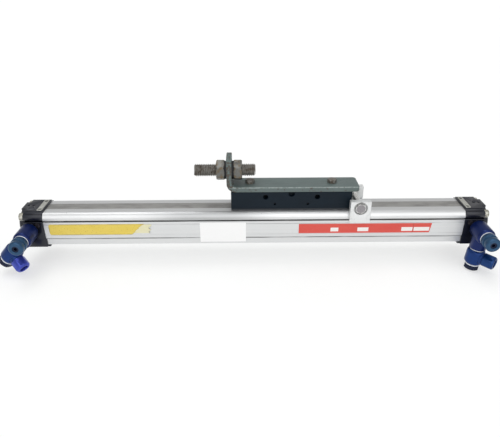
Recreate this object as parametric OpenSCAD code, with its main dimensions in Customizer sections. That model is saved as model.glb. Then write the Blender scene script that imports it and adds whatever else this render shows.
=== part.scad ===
// Rodless pneumatic cylinder, 25 mm bore, slotted barrel sealed by steel bands.
// X runs along the barrel, -Y is the side with the ports, Z is up.
// The origin is under the middle of the barrel, level with the undersides of the end caps.

/* [Barrel] */
// Length of the barrel between the end caps
barrel_len = 412; // [380:1:700]
// Width across the barrel's flanks
barrel_w = 36; // [35.6:0.1:38]
// Height of the barrel's flat top above the caps' underside
barrel_top = 36; // [35.8:0.1:37]
// Height of the barrel's underside above the caps' underside
barrel_lift = 2.2; // [2:0.1:3]
// Radius of the barrel's rounded shoulders
shoulder_r = 6; // [5.5:0.1:6.5]
// Diameter of the bore
bore_d = 25; // [24.6:0.1:25.2]
// Height of the bore's axis
bore_z = 19.5; // [19.3:0.1:19.8]
// Width of the slot that the yoke runs in
slot_w = 6.5; // [6:0.1:7]
// Height of the groove that the stop's jaws hook into
hook_z = 28.2; // [28:0.1:28.4]
// Height of the groove's mouth
hook_h = 1.6; // [1.2:0.1:1.8]
// Height of the shallow groove near the underside
low_groove_z = 9; // [8.8:0.1:9.4]
// Depth of the shallow groove
low_groove_depth = 1; // [0.6:0.1:1.1]

/* [Bands] */
// Width of the outer sealing band
outer_band_w = 12; // [10:0.5:12.5]
// Thickness of the outer sealing band
outer_band_t = 0.5; // [0.3:0.1:0.6]
// Width of the inner sealing band
inner_band_w = 9; // [8.5:0.1:9.2]
// Thickness of the inner sealing band
inner_band_t = 0.4; // [0.3:0.1:0.5]

/* [End caps] */
// Length of a cap's body
cap_len = 19; // [19:0.5:26]
// Width of a cap
cap_w = 36.4; // [36.4:0.1:38]
// Height of a cap's flat top
cap_top = 37.5; // [37.2:0.1:38.5]
// Width of a cap's flat top
cap_flat_w = 28; // [27:0.1:28.4]
// Diameter of the round boss on a cap's outer end
boss_d = 28.4; // [26:0.1:28.4]
// How far the boss stands out
boss_len = 7; // [5:0.5:10]
// Length of the spigot that enters the barrel
spigot_len = 10; // [8:0.5:12]
// Sideways distance of the cap screws from the bore's axis
cap_screw_y = 13.9; // [13.7:0.1:14.1]
// Vertical distance of the cap screws from the bore's axis
cap_screw_dz = 12.3; // [12.2:0.1:12.5]
// Length of a cap screw under its head
cap_screw_len = 30; // [28:1:40]
// How far the foot lip reaches under the barrel
foot_lip = 2.5; // [2:0.5:8]
// Distance of the port's axis from the cap's inner face
port_inset = 13.4; // [13:0.1:13.6]
// Radius of the port's thread
port_r = 4.6; // [4.4:0.1:4.7]
// Distance of the cushion needle from the cap's inner face
needle_inset = 5.8; // [4:0.1:5.8]
// Height of the cushion needle's axis
needle_z = 24.4; // [24:0.1:25]
// Radius of the cushion needle's head
needle_r = 2.4; // [2:0.1:2.4]
// Spacing of the threaded foot holes across the barrel
foot_hole_span = 15; // [13:0.5:16]
// Radius of a cushion sleeve
sleeve_r = 5; // [4.5:0.1:5.2]
// How far a cushion sleeve stands out of its spigot
sleeve_reach = 15; // [10:1:17]
// Width of the bar that clamps the bands
clamp_w = 5; // [4:0.5:6]
// Length of the bar that clamps the bands
clamp_len = 23.5; // [21:0.5:24]

/* [Carriage] */
// Where the middle of the carriage stands along the barrel
carriage_x = 36; // [-40:1:36]
// Length of the carriage
carriage_len = 117; // [114:1:117]
// Width of the carriage
carriage_w = 24; // [22:0.5:24.4]
// Height of the carriage's flat top
carriage_top = 55.5; // [55:0.5:60]
// Height of the slide strips under the carriage
strip_h = 1.6; // [1.4:0.1:2]
// Running gap between the slide strips and the barrel
slide_gap = 0.3; // [0.2:0.05:0.4]
// Distance of the side holes from the carriage's middle
side_hole_x = 25; // [22:0.5:34]
// Radius of the side holes
side_hole_r = 2.5; // [2:0.1:3]
// Height of the side holes
side_hole_z = 50.1; // [49.5:0.1:50.5]
// Distance of the bracket screws from the carriage's middle
bracket_hole_x = 40; // [36:0.5:48]

/* [Piston] */
// Length of the piston over both ends
piston_len = 140; // [132:1:146]
// Length of the yoke's round core
yoke_len = 92; // [90:1:96]
// Length of the web that passes through the slot
web_len = 50; // [44:1:52]
// Clearance between the web and each side of the slot
web_gap = 0.25; // [0.2:0.05:0.4]
// Gap between the piston and the bore
piston_gap = 0.3; // [0.2:0.05:0.4]

/* [Bracket] */
// Width of the flat bar
bracket_w = 25; // [20:1:26]
// Thickness of the flat bar
bracket_t = 5; // [4:0.5:6]
// Distance from the carriage's middle to the bracket's plain end
bracket_reach = 65.2; // [60:0.1:70]
// Distance from the carriage's middle to the outer face of the upright tab
tab_x = 62.5; // [60:0.5:66]
// Height of the upright tab above the carriage
tab_h = 33.5; // [28:0.5:40]
// Radius inside the bend
bend_r = 3.5; // [3:0.5:4]
// Height of the stud's axis above the carriage
stud_z = 18.5; // [16:0.5:19]
// Radius of the stud
stud_r = 6; // [4:0.5:6]
// Length of the stud
stud_len = 59; // [50:1:80]
// Length of the stud that stands free beyond the outer nut
stud_free = 21.4; // [14:0.2:30]

/* [Stop] */
// Where the middle of the stop stands along the barrel
stop_x = 102; // [102:1:112]
// Width of the stop's jaws along the barrel
jaw_w = 19.8; // [18:0.1:24]
// Height of the top of the jaws
jaw_top = 48.4; // [48.4:0.1:52]
// Height of the bottom of the jaws
jaw_bottom = 26.2; // [25.6:0.1:26.8]
// How far a jaw's outer face stands from the barrel's flank
jaw_out = 3.5; // [3:0.1:5]
// Height of the stop bolt's axis
stop_bolt_z = 41.6; // [41.4:0.1:41.6]

/* [Air fittings] */
// Radius of the swivel bodies
banjo_r = 8.6; // [8:0.1:10]
// Length of the swivel body on the port
port_banjo_len = 22.6; // [20:0.2:26]
// Thickness of a sealing washer
washer_t = 1; // [0.8:0.1:1.6]
// Distance from the port's axis to the flat end of the arm
arm_reach = 16.6; // [16:0.2:22]
// Length of the swivel body on the arm
hose_banjo_len = 15.6; // [15:0.1:22]
// Tilt of the left arm from straight down, outwards
left_arm_tilt = 42; // [0:1:80]
// Tilt of the right arm from straight down, inwards
right_arm_tilt = 5; // [0:1:60]
// Turn of the left hose outlet about its arm
left_outlet_turn = -29; // [-90:1:0]
// Turn of the right hose outlet about its arm
right_outlet_turn = -46; // [-90:1:0]
// Radius of the hose's tube
tube_r = 4; // [3:0.5:4]
// Outer radius of a union nut
union_r = 7; // [6.8:0.1:8]

/* [Hidden] */
$fn = 64;

eps = 0.01;
root = 1;               // how deep a feature is rooted in the body that it grows from
play = 0.05;            // radial play of a pin or thread in its hole
side_play = 0.1;        // gap between faces that turn or slide past each other
bore_r = bore_d / 2;
half_len = barrel_len / 2;
half_w = barrel_w / 2;

// Barrel
slot_half = slot_w / 2;
shoulder_y = half_w - shoulder_r;
shoulder_z = barrel_top - shoulder_r;
low_lip_inset = 1.2;    // the flank steps in under the low groove
low_groove_h = 1.2;
hook_depth = 3.2;
hook_mouth = 1.6;       // depth of the mouth before the groove widens
hook_drop = 1.6;        // how far the groove widens downwards
hook_top_lip = 0.4;
score_drop = 3.7;       // the score line under the hook groove
score_h = 0.3;
score_depth = 0.2;

// Bands
inner_band_r = bore_r + 0.02;
band_seat_gap = 0.05;
outer_path_z = barrel_top - outer_band_t / 2;
inner_flat_drop = 0.82;  // how far the band sinks as its arch flattens
inner_path_z = bore_z + inner_band_r + inner_band_t / 2 - inner_flat_drop;
bridge_half = web_len / 2 + 1;
wiper_len = 4;
ramp_gap = 0.5;
yoke_end_land = 3;
outer_ramp_end = carriage_len / 2 - wiper_len - ramp_gap;
inner_ramp_end = yoke_len / 2 - yoke_end_land;
outer_rise = 9.6;
inner_dip = 8.5;
band_room = 1;          // free height on each side of a band inside its tunnel
band_side_room = 0.5;
ramp_steps = 8;

// Caps
cap_screw_r = 2.5;
cap_screw_head_r = 3.9;
cap_screw_head_h = 3.8;
lobe_r = cap_w / 2 - cap_screw_y;
cap_face_z = bore_z + cap_screw_dz - lobe_r + 0.1;
cove_r = 1.8;
brow_w = 15;            // block over the boss, between the screw heads
brow_len = 4;
cap_out = half_len + cap_len;
boss_r = boss_d / 2;
boss_chamfer = 1.5;
spigot_r = bore_r - 0.1;
seal_groove_depth = 1.6;
seal_groove_w = 2.2;
seal_inset = 5;
passage_r = 2.5;
cross_drill_r = 3;
port_x = half_len + port_inset;
port_depth = 9;
needle_x = half_len + needle_inset;
needle_len = 10;
needle_stand = 0.6;
plug_depth = 7;
plug_hex = 5;
foot_hole_r = 2.5;
foot_hole_depth = 7;
foot_hole_inset = 9;
clamp_inset = 1.5;
clamp_screw_r = 1.5;
clamp_screw_y = 9.2;
clamp_stand = 0.5;      // how far the bar stands above the cap's top
pin_hole_r = 1.1;
pin_hole_insets = [13.5, 18.5];

// Carriage
carriage_bottom = barrel_top + slide_gap + strip_h;
carriage_edge = 0.6;
notch_w = 6;
notch_h = 5;
notch_depth = 5;
yoke_pin_r = 1.15;
yoke_pin_x = 16;
yoke_pin_z = 42.6;
web_top = barrel_top + 9;
tap_depth = 8;

// Piston
web_half = slot_half - web_gap;
piston_r = bore_r - piston_gap;
piston_end_len = (piston_len - yoke_len) / 2;
joint_spigot_r = 6;
joint_spigot_len = 3;
cushion_r = 5.6;
cushion_depth = sleeve_reach + 2;
wear_at = 3;            // places along a piston end, from its joint with the yoke
wear_w = 5;
wear_depth = 1.2;
lip_at = 12;
lip_w = 4;
lip_depth = 2;
cushion_seal_at = piston_end_len - 4;
cushion_seal_w = 2;
cushion_seal_depth = 1.2;

// Bracket
screw_r = 2.5;
hex_head_flats = 8;
hex_head_h = 3.5;
stud_axis_z = carriage_top + stud_z;
nut_flats = 18;
nut_h = 8;
nut_washer_t = 1.8;
nut_washer_r = 8.8;
tab_out = -tab_x;
stud_end = tab_out - nut_washer_t - nut_h - stud_free;
stud_core_r = stud_r - 0.5;
stud_chamfer = 0.8;
stud_relief = 0.5;       // the thread stops short of the nut
tab_corner = 6;
end_corner = 3;

// Stop
jaw_face = half_w + jaw_out;
jaw_inner = carriage_w / 2 + 3;
jaw_play = 0.2;
stop_bolt_r = 3;
stop_head_flats = 10;
stop_head_h = 3.8;
stop_flange_r = 4.9;
stop_flange_h = 1;
counterbore_r = 6.5;
counterbore_depth = 4.5;

// Air fittings
cap_face = cap_w / 2;
bolt_shank_r = port_r - play;
banjo_bore_r = bolt_shank_r + 0.08;
port_washer_r = 5.8;     // clears the needle beside the port
outer_washer_r = 6.8;
banjo_edge = 3;         // roundness of the swivel bodies' ends
banjo_near = cap_face + washer_t + side_play;
banjo_far = banjo_near + port_banjo_len;
neck_start = banjo_far + side_play + washer_t;
arm_y = -(banjo_near + banjo_far) / 2;
arm_r = 7.8;
arm_bolt_r = 4.2;
arm_bolt_bore_r = arm_bolt_r + 0.08;
arm_bolt_grip = 9;
hose_near = arm_reach + washer_t + side_play;
hose_far = hose_near + hose_banjo_len;
hose_mid = (hose_near + hose_far) / 2;
arm_head_start = hose_far + side_play + washer_t;
arm_head_h = 4.8;
arm_head_flats = 13;
outlet_r = 6.2;
outlet_len = 8.8;
stub_r = 5;
stub_len = 5;
union_len = 10.9;
union_start = outlet_len + 0.2;
tube_hole_r = tube_r + 0.1;
flow_screw_r = 3;
neck_steps = [[6.9, 3], [7.3, 2.4], [6.5, 2.2], [7, 5]];   // radius and length of each ring
neck_len = neck_steps[0][1] + neck_steps[1][1] + neck_steps[2][1] + neck_steps[3][1];
neck_end = neck_start + neck_len;

// A profile drawn in Y and Z, swept along X about its middle.
module along_x(length) {
    rotate([90, 0, 90]) linear_extrude(length, center = true) children();
}

// A profile drawn in X and Z, swept along Y about its middle.
module along_y(width) {
    rotate([90, 0, 0]) linear_extrude(width, center = true) children();
}

// A round bar along +X from a start, at a height and side.
module bar_x(r, x0, x1, y = 0, z = bore_z) {
    translate([x0, y, z]) rotate([0, 90, 0]) cylinder(h = x1 - x0, r = r);
}

// A round bar along Y between two places.
module bar_y(r, y0, y1, x = 0, z = 0) {
    translate([x, y1, z]) rotate([90, 0, 0]) cylinder(h = y1 - y0, r = r);
}

// A ring about the bore's axis, from a profile of radius and place along X.
module ring_x() {
    translate([0, 0, bore_z]) rotate([0, 90, 0]) rotate_extrude($fn = 96) children();
}

module at_end(side) {
    mirror([side < 0 ? 1 : 0, 0, 0]) children();
}

module both_sides() {
    for (side = [0, 1]) mirror([0, side, 0]) children();
}

module hexagon(flats) {
    circle(d = flats / cos(30), $fn = 6);
}

// Height of a band's path off its seat, easing from 0 at the ramp's end to full at the bridge.
function ease(t) = t * t * (3 - 2 * t);
function lift(x, ramp_end) = abs(x) >= ramp_end ? 0
    : abs(x) <= bridge_half ? 1
    : ease((ramp_end - abs(x)) / (ramp_end - bridge_half));
function ramp_places(ramp_end) = concat(
    [for (i = [0:ramp_steps]) -ramp_end + (ramp_end - bridge_half) * i / ramp_steps],
    [for (i = [0:ramp_steps]) bridge_half + (ramp_end - bridge_half) * i / ramp_steps]);

// Side view of a band's path between two ends, thick on each side of the path.
module band_path(from, to, ramp_end, base_z, height, thick) {
    places = concat([from], [for (x = ramp_places(ramp_end)) carriage_x + x], [to]);
    path = [for (x = places) [x, base_z + height * lift(x - carriage_x, ramp_end)]];
    count = len(path);
    polygon(concat(
        [for (p = path) p + [0, thick]],
        [for (i = [0:count - 1]) path[count - 1 - i] - [0, thick]]));
}

// ---- Barrel ----

module hook_groove() {
    translate([half_w - hook_mouth, hook_z - hook_h / 2]) square([hook_mouth + 1, hook_h]);
    translate([half_w - hook_depth, hook_z - hook_h / 2 - hook_drop])
        square([hook_depth - hook_mouth + eps, hook_h + hook_drop - hook_top_lip]);
}

module barrel_half() {
    difference() {
        union() {
            translate([0, barrel_lift])
                square([half_w - low_lip_inset, low_groove_z - barrel_lift]);
            translate([0, low_groove_z - eps]) square([half_w, shoulder_z - low_groove_z + eps]);
            translate([0, barrel_lift + 1]) square([shoulder_y, barrel_top - barrel_lift - 1]);
            translate([shoulder_y, shoulder_z]) circle(shoulder_r);
        }
        translate([half_w - low_groove_depth - low_lip_inset / 2, low_groove_z - low_groove_h / 2])
            square([low_groove_depth + low_lip_inset, low_groove_h]);
        hook_groove();
        translate([half_w - score_depth, hook_z - score_drop]) square([1, score_h]);
        for (dz = [-1, 1])
            translate([cap_screw_y, bore_z + dz * cap_screw_dz]) circle(cap_screw_r + play);
    }
}

module inner_band_section(r0, r1, width) {
    intersection() {
        translate([0, bore_z]) difference() {
            circle(r1, $fn = 128);
            circle(r0, $fn = 128);
        }
        translate([-width / 2, bore_z]) square([width, bore_r + 2]);
    }
}

module barrel() {
    color("gainsboro") along_x(barrel_len) difference() {
        union() {
            barrel_half();
            mirror([1, 0]) barrel_half();
        }
        translate([0, bore_z]) circle(bore_r, $fn = 128);
        translate([-slot_half, bore_z]) square([slot_w, barrel_top]);
        translate([-outer_band_w / 2 - band_seat_gap, barrel_top - outer_band_t])
            square([outer_band_w + 2 * band_seat_gap, 1]);
        inner_band_section(bore_r - 0.1, inner_band_r + inner_band_t + band_seat_gap,
            inner_band_w + 2 * band_seat_gap);
    }
}

module outer_band() {
    end = half_len + clamp_inset + clamp_w;
    color("dimgray") along_y(outer_band_w)
        band_path(-end, end, outer_ramp_end, outer_path_z, outer_rise, outer_band_t / 2);
}

// Arched to the bore's curve, and flat where it dips under the yoke's bridge.
module inner_band() {
    color("silver") {
        for (span = [[-half_len + spigot_len + 1, carriage_x - inner_ramp_end],
                     [carriage_x + inner_ramp_end, half_len - spigot_len - 1]])
            translate([(span[0] + span[1]) / 2, 0, 0]) along_x(span[1] - span[0])
                inner_band_section(inner_band_r, inner_band_r + inner_band_t, inner_band_w);
        along_y(inner_band_w - 1) band_path(carriage_x - inner_ramp_end - 1,
            carriage_x + inner_ramp_end + 1, inner_ramp_end, inner_path_z, -inner_dip,
            inner_band_t / 2);
    }
}

// ---- End caps ----

module cap_section() {
    difference() {
        union() {
            translate([-cap_w / 2, 0]) square([cap_w, cap_face_z]);
            translate([-cap_screw_y, 0]) square([2 * cap_screw_y, bore_z + cap_screw_dz]);
            translate([-cap_flat_w / 2, 0]) square([cap_flat_w, cap_top]);
            for (side = [-1, 1])
                translate([side * cap_screw_y, bore_z + cap_screw_dz]) circle(lobe_r);
        }
        for (side = [-1, 1])
            translate([side * (cap_flat_w / 2 + 0.6 * cove_r), cap_top - 0.4 * cove_r])
                circle(cove_r);
    }
}

module cap_solid() {
    translate([half_len + cap_len / 2, 0, 0]) along_x(cap_len) cap_section();
    translate([cap_out, 0, bore_z]) rotate([0, 90, 0]) rotate_extrude()
        polygon([[0, -root], [boss_r, -root], [boss_r, boss_len - boss_chamfer],
            [boss_r - boss_chamfer, boss_len], [0, boss_len]]);
    translate([cap_out - root, -brow_w / 2, bore_z])
        cube([brow_len + root, brow_w, cap_top - bore_z]);
    bar_x(spigot_r, half_len - spigot_len, half_len + root);
    translate([half_len - foot_lip, -cap_w / 2 + 1, 0])
        cube([foot_lip + root, cap_w - 2, barrel_lift]);
}

module cap_screw_places() {
    for (y = [-1, 1], dz = [-1, 1])
        translate([0, y * cap_screw_y, bore_z + dz * cap_screw_dz]) rotate([0, 90, 0]) children();
}

// Room at the top inner edge for the bands' ends and the bar that clamps them.
module clamp_pocket() {
    translate([half_len + clamp_inset, -clamp_len / 2 - play, barrel_top])
        cube([clamp_w + play, clamp_len + 2 * play, cap_top]);
    translate([half_len - 1, -outer_band_w / 2 - play, barrel_top - outer_band_t])
        cube([1 + clamp_inset + clamp_w + play, outer_band_w + 2 * play, outer_band_t + eps]);
}

module end_cap(side) {
    color("#22252a") at_end(side) difference() {
        cap_solid();
        translate([half_len - 1, 0, 0]) cap_screw_places()
            cylinder(h = cap_len + 2, r = cap_screw_r + play);
        ring_x() translate([spigot_r - seal_groove_depth, half_len - seal_inset])
            square([seal_groove_depth + 1, seal_groove_w]);
        bar_y(port_r, -cap_face - 1, -cap_face + port_depth, port_x, bore_z);
        bar_y(cross_drill_r, -cap_face + port_depth - root, cross_drill_r, port_x, bore_z);
        bar_x(passage_r, half_len - spigot_len - 1, cap_out + boss_len - plug_depth);
        bar_x(sleeve_r - 1 + play, half_len - spigot_len - 1, half_len - 2);
        bar_x(port_r, cap_out + boss_len - plug_depth - 0.5, cap_out + boss_len + 1);
        bar_y(needle_r + play, -cap_face - 1, -cap_face + needle_len, needle_x, needle_z);
        for (y = [-1, 1]) {
            translate([half_len + foot_hole_inset, y * foot_hole_span / 2, -1])
                cylinder(h = foot_hole_depth + 1, r = foot_hole_r);
            translate([half_len + clamp_inset + clamp_w / 2, y * clamp_screw_y, barrel_top - 5])
                cylinder(h = 6, r = clamp_screw_r + play);
        }
        clamp_pocket();
        for (inset = pin_hole_insets)
            translate([half_len + inset, 0, cap_top - 3]) cylinder(h = 4, r = pin_hole_r);
    }
}

module cap_screws(side) {
    color("silver") at_end(side) translate([cap_out, 0, 0]) cap_screw_places() difference() {
        union() {
            cylinder(h = cap_screw_head_h, r = cap_screw_head_r);
            translate([0, 0, -cap_screw_len]) cylinder(h = cap_screw_len, r = cap_screw_r);
        }
        translate([0, 0, cap_screw_head_h - 2]) linear_extrude(3) hexagon(4);
    }
}

module cap_seal(side) {
    floor_r = spigot_r - seal_groove_depth;
    color("#101010") at_end(side) ring_x()
        translate([(bore_r + floor_r) / 2, half_len - seal_inset + seal_groove_w / 2])
            circle((bore_r - floor_r) / 2 - play, $fn = 24);
}

module cushion_sleeve(side) {
    seat = half_len - spigot_len;
    color("goldenrod") at_end(side) difference() {
        union() {
            bar_x(sleeve_r - 1, seat, seat + spigot_len - 2.5);
            bar_x(sleeve_r, seat - sleeve_reach + 1.5, seat);
            translate([seat - sleeve_reach, 0, bore_z]) rotate([0, 90, 0])
                cylinder(h = 1.5, r1 = sleeve_r - 1, r2 = sleeve_r);
        }
        bar_x(passage_r, seat - sleeve_reach - 1, seat + spigot_len);
    }
}

module band_clamp(side) {
    top = cap_top + clamp_stand;
    color("lightgray") at_end(side) difference() {
        translate([half_len + clamp_inset + play, -clamp_len / 2, barrel_top])
            cube([clamp_w - play, clamp_len, top - barrel_top]);
        for (y = [-1, 1])
            translate([half_len + clamp_inset + clamp_w / 2, y * clamp_screw_y, barrel_top - 1])
                cylinder(h = 10, r = clamp_screw_r + play);
    }
}

module clamp_screws(side) {
    top = cap_top + clamp_stand;
    color("dimgray") at_end(side) for (y = [-1, 1])
        translate([half_len + clamp_inset + clamp_w / 2, y * clamp_screw_y, 0]) difference() {
            translate([0, 0, barrel_top - 4.5])
                cylinder(h = top - 0.3 - barrel_top + 4.5, r = clamp_screw_r);
            translate([0, 0, top - 1.8]) linear_extrude(3) hexagon(1.5);
        }
}

module port_plug(side) {
    out = cap_out + boss_len;
    color("gray") at_end(side) difference() {
        bar_x(port_r - play, out - plug_depth, out - 0.4);
        translate([out - 3.4, 0, bore_z]) rotate([0, 90, 0]) linear_extrude(4) hexagon(plug_hex);
    }
}

module cushion_needle(side) {
    out = -cap_face - needle_stand;
    slot_turn = side < 0 ? 90 : 50;
    color("#3a3d42") at_end(side) translate([needle_x, 0, needle_z]) difference() {
        union() {
            bar_y(needle_r, out, -cap_face + 5);
            bar_y(1.4, -cap_face + 5 - eps, -cap_face + needle_len - 1.5);
            translate([0, -cap_face + needle_len - 1.5 - eps, 0]) rotate([-90, 0, 0])
                cylinder(h = 1.3, r1 = 1.4, r2 = 0.4);
        }
        rotate([0, slot_turn, 0]) translate([-needle_r - 1, out - 1, -0.35])
            cube([2 * needle_r + 2, 2, 0.7]);
    }
}

// ---- Carriage ----

module carriage_section() {
    half = carriage_w / 2;
    polygon([[-half, carriage_bottom], [half, carriage_bottom],
        [half, carriage_top - carriage_edge], [half - carriage_edge, carriage_top],
        [-half + carriage_edge, carriage_top], [-half, carriage_top - carriage_edge]]);
}

module side_notch() {
    translate([0, 0, carriage_top - notch_h + notch_w / 2]) rotate([90, 0, 0])
        cylinder(h = 2 * notch_depth, r = notch_w / 2, center = true);
    translate([-notch_w / 2, -notch_depth, carriage_top - notch_h + notch_w / 2])
        cube([notch_w, 2 * notch_depth, notch_h]);
}

module carriage_block() {
    half = carriage_w / 2;
    color("#2b3440") difference() {
        translate([carriage_x, 0, 0]) along_x(carriage_len) carriage_section();
        along_y(outer_band_w + 2 * band_side_room) band_path(carriage_x - carriage_len / 2 - 1,
            carriage_x + carriage_len / 2 + 1, outer_ramp_end, outer_path_z + 0.5, outer_rise,
            outer_band_t / 2 + band_room);
        translate([carriage_x, 0, 0]) {
            translate([-web_len / 2 - play, -web_half - play, carriage_bottom - 1])
                cube([web_len + 2 * play, 2 * (web_half + play), web_top - carriage_bottom + 1.2]);
            for (side = [-1, 1]) {
                bar_y(side_hole_r, -half - 1, half + 1, side * side_hole_x, side_hole_z);
                bar_y(yoke_pin_r + 0.02, -half - 1, half + 1, side * yoke_pin_x, yoke_pin_z);
                translate([side * bracket_hole_x, 0, carriage_top - tap_depth])
                    cylinder(h = tap_depth + 1, r = screw_r + play);
                translate([0, side * half, 0]) side_notch();
            }
        }
    }
}

module slide_strips() {
    color("#5b6066") both_sides()
        translate([carriage_x - carriage_len / 2, carriage_w / 2 - 5.2, barrel_top + slide_gap])
            cube([carriage_len, 5.2, strip_h]);
}

module band_wipers() {
    color("#17191c") for (side = [-1, 1])
        translate([carriage_x + side * (carriage_len - wiper_len) / 2, 0, 0])
            translate([-wiper_len / 2, -outer_band_w / 2, barrel_top + slide_gap])
                cube([wiper_len, outer_band_w, strip_h]);
}

// ---- Piston and yoke ----

module yoke() {
    half = yoke_len / 2;
    color("#9aa0a6") difference() {
        union() {
            bar_x(piston_r, carriage_x - half, carriage_x + half);
            translate([carriage_x - web_len / 2, -web_half, bore_z])
                cube([web_len, 2 * web_half, web_top - bore_z]);
        }
        along_y(inner_band_w + 0.6) band_path(carriage_x - half - 1, carriage_x + half + 1,
            inner_ramp_end, inner_path_z, -inner_dip, inner_band_t / 2 + band_room);
        for (side = [-1, 1])
            bar_y(yoke_pin_r + 0.02, -web_half - 1, web_half + 1,
                carriage_x + side * yoke_pin_x, yoke_pin_z);
        for (side = [-1, 1]) translate([carriage_x, 0, 0]) at_end(side)
            bar_x(joint_spigot_r + play, half - joint_spigot_len - 0.2, half + 1);
    }
}

module yoke_pins() {
    reach = carriage_w / 2 - 3;
    color("silver") for (side = [-1, 1])
        bar_y(yoke_pin_r, -reach, reach, carriage_x + side * yoke_pin_x, yoke_pin_z);
}

module piston_end(side) {
    color("#c8a24a") translate([carriage_x, 0, 0]) at_end(side) translate([yoke_len / 2, 0, 0])
        difference() {
            union() {
                bar_x(piston_r, 0, piston_end_len);
                bar_x(joint_spigot_r, -joint_spigot_len, eps);
            }
            ring_x() union() {
                translate([piston_r - wear_depth, wear_at]) square([wear_depth + 1, wear_w]);
                translate([piston_r - lip_depth, lip_at]) square([lip_depth + 1, lip_w]);
                translate([cushion_r - 1, cushion_seal_at])
                    square([cushion_seal_depth + 1, cushion_seal_w]);
            }
            bar_x(cushion_r, piston_end_len - cushion_depth, piston_end_len + 1);
        }
}

module on_piston_ends() {
    for (side = [-1, 1]) translate([carriage_x, 0, 0]) at_end(side)
        translate([yoke_len / 2, 0, 0]) ring_x() children();
}

module piston_wear_rings() {
    color("#3c3f45") on_piston_ends()
        translate([piston_r - wear_depth + play, wear_at + play])
            square([bore_r - 0.08 - piston_r + wear_depth - play, wear_w - 2 * play]);
}

// A lip seal whose lip opens towards the pressure.
module piston_seals() {
    inner = piston_r - lip_depth + play;
    outer = bore_r - 0.06;
    color("#151515") on_piston_ends()
        polygon([[inner, lip_at + play], [outer - 0.5, lip_at + play], [outer, lip_at + lip_w - 0.6],
            [outer - 0.3, lip_at + lip_w - play], [outer - 1, lip_at + lip_w - 1.2],
            [inner + 0.4, lip_at + lip_w - play], [inner, lip_at + lip_w - play]]);
}

module cushion_seals() {
    color("#151515") on_piston_ends()
        translate([sleeve_r + side_play, cushion_seal_at + play])
            square([cushion_r + cushion_seal_depth - sleeve_r - side_play - play,
                cushion_seal_w - 2 * play]);
}

// ---- Bracket, stud and nuts ----

// Side view of the bent bar: a plain arm, a bend and the upright.
module bracket_side() {
    corner = [tab_out + bracket_t + bend_r, bracket_t + bend_r];
    translate([corner[0], 0]) square([bracket_reach - corner[0], bracket_t]);
    translate([tab_out, corner[1]]) square([bracket_t, tab_h - corner[1]]);
    intersection() {
        translate(corner) difference() {
            circle(bend_r + bracket_t);
            circle(bend_r);
        }
        translate([tab_out, 0]) square(corner - [tab_out, 0]);
    }
}

// What is left outside a rounded corner of the bar's outline.
module corner_waste(r) {
    difference() {
        translate([-r, -r]) square([r + 1, r + 1]);
        translate([-r, -r]) circle(r);
    }
}

module bracket() {
    half = bracket_w / 2;
    color("#77807a") translate([carriage_x, 0, carriage_top]) difference() {
        along_y(bracket_w) bracket_side();
        for (side = [-1, 1]) {
            translate([side * bracket_hole_x, 0, -1]) cylinder(h = bracket_t + 2, r = screw_r + 0.25);
            mirror([0, side < 0 ? 1 : 0, 0]) {
                translate([tab_out - 1, half, tab_h]) rotate([90, 0, 90])
                    linear_extrude(bracket_t + 2) corner_waste(tab_corner);
                translate([bracket_reach, half, -1]) linear_extrude(bracket_t + 2)
                    corner_waste(end_corner);
            }
        }
        translate([tab_out - 1, 0, stud_z]) rotate([0, 90, 0])
            cylinder(h = bracket_t + 2, r = stud_r + 0.25);
    }
}

module bracket_screws() {
    color("#8a8478") for (side = [-1, 1])
        translate([carriage_x + side * bracket_hole_x, 0, carriage_top + bracket_t]) {
            intersection() {
                linear_extrude(hex_head_h) hexagon(hex_head_flats);
                cylinder(h = hex_head_h, r1 = hex_head_flats, r2 = hex_head_flats / 2);
            }
            translate([0, 0, -bracket_t - tap_depth + 1])
                cylinder(h = bracket_t + tap_depth - 1, r = screw_r);
        }
}

module stud() {
    full = stud_free - stud_relief;
    color("#7d766b") translate([carriage_x, 0, stud_axis_z]) rotate([0, 90, 0]) {
        translate([0, 0, stud_end])
            cylinder(h = stud_chamfer, r1 = stud_r - stud_chamfer, r2 = stud_r);
        translate([0, 0, stud_end + stud_chamfer])
            cylinder(h = full - stud_chamfer, r = stud_r);
        translate([0, 0, stud_end + full])
            cylinder(h = stud_len - full - stud_chamfer, r = stud_core_r);
        translate([0, 0, stud_end + stud_len - stud_chamfer])
            cylinder(h = stud_chamfer, r1 = stud_core_r, r2 = stud_core_r - stud_chamfer);
    }
}

module stud_nut(from) {
    color("#857d70") translate([carriage_x + from, 0, stud_axis_z]) rotate([0, 90, 0]) difference() {
        intersection() {
            linear_extrude(nut_h) hexagon(nut_flats);
            union() {
                cylinder(h = nut_h / 2, r1 = nut_flats / 2, r2 = nut_flats / 2 + nut_h * 0.7);
                translate([0, 0, nut_h / 2])
                    cylinder(h = nut_h / 2, r1 = nut_flats / 2 + nut_h * 0.7, r2 = nut_flats / 2);
            }
        }
        translate([0, 0, -1]) cylinder(h = nut_h + 2, r = stud_core_r + play);
    }
}

module left_stud_nut() stud_nut(tab_out - nut_washer_t - nut_h);
module right_stud_nut() stud_nut(tab_out + bracket_t + nut_washer_t);

module stud_washers() {
    color("#4e4a44") for (x = [tab_out - nut_washer_t, tab_out + bracket_t])
        translate([carriage_x + x, 0, stud_axis_z]) rotate([0, 90, 0]) difference() {
            cylinder(h = nut_washer_t, r = nut_washer_r);
            translate([0, 0, -1]) cylinder(h = nut_washer_t + 2, r = stud_core_r + 0.2);
        }
}

// ---- Stop ----

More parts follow.
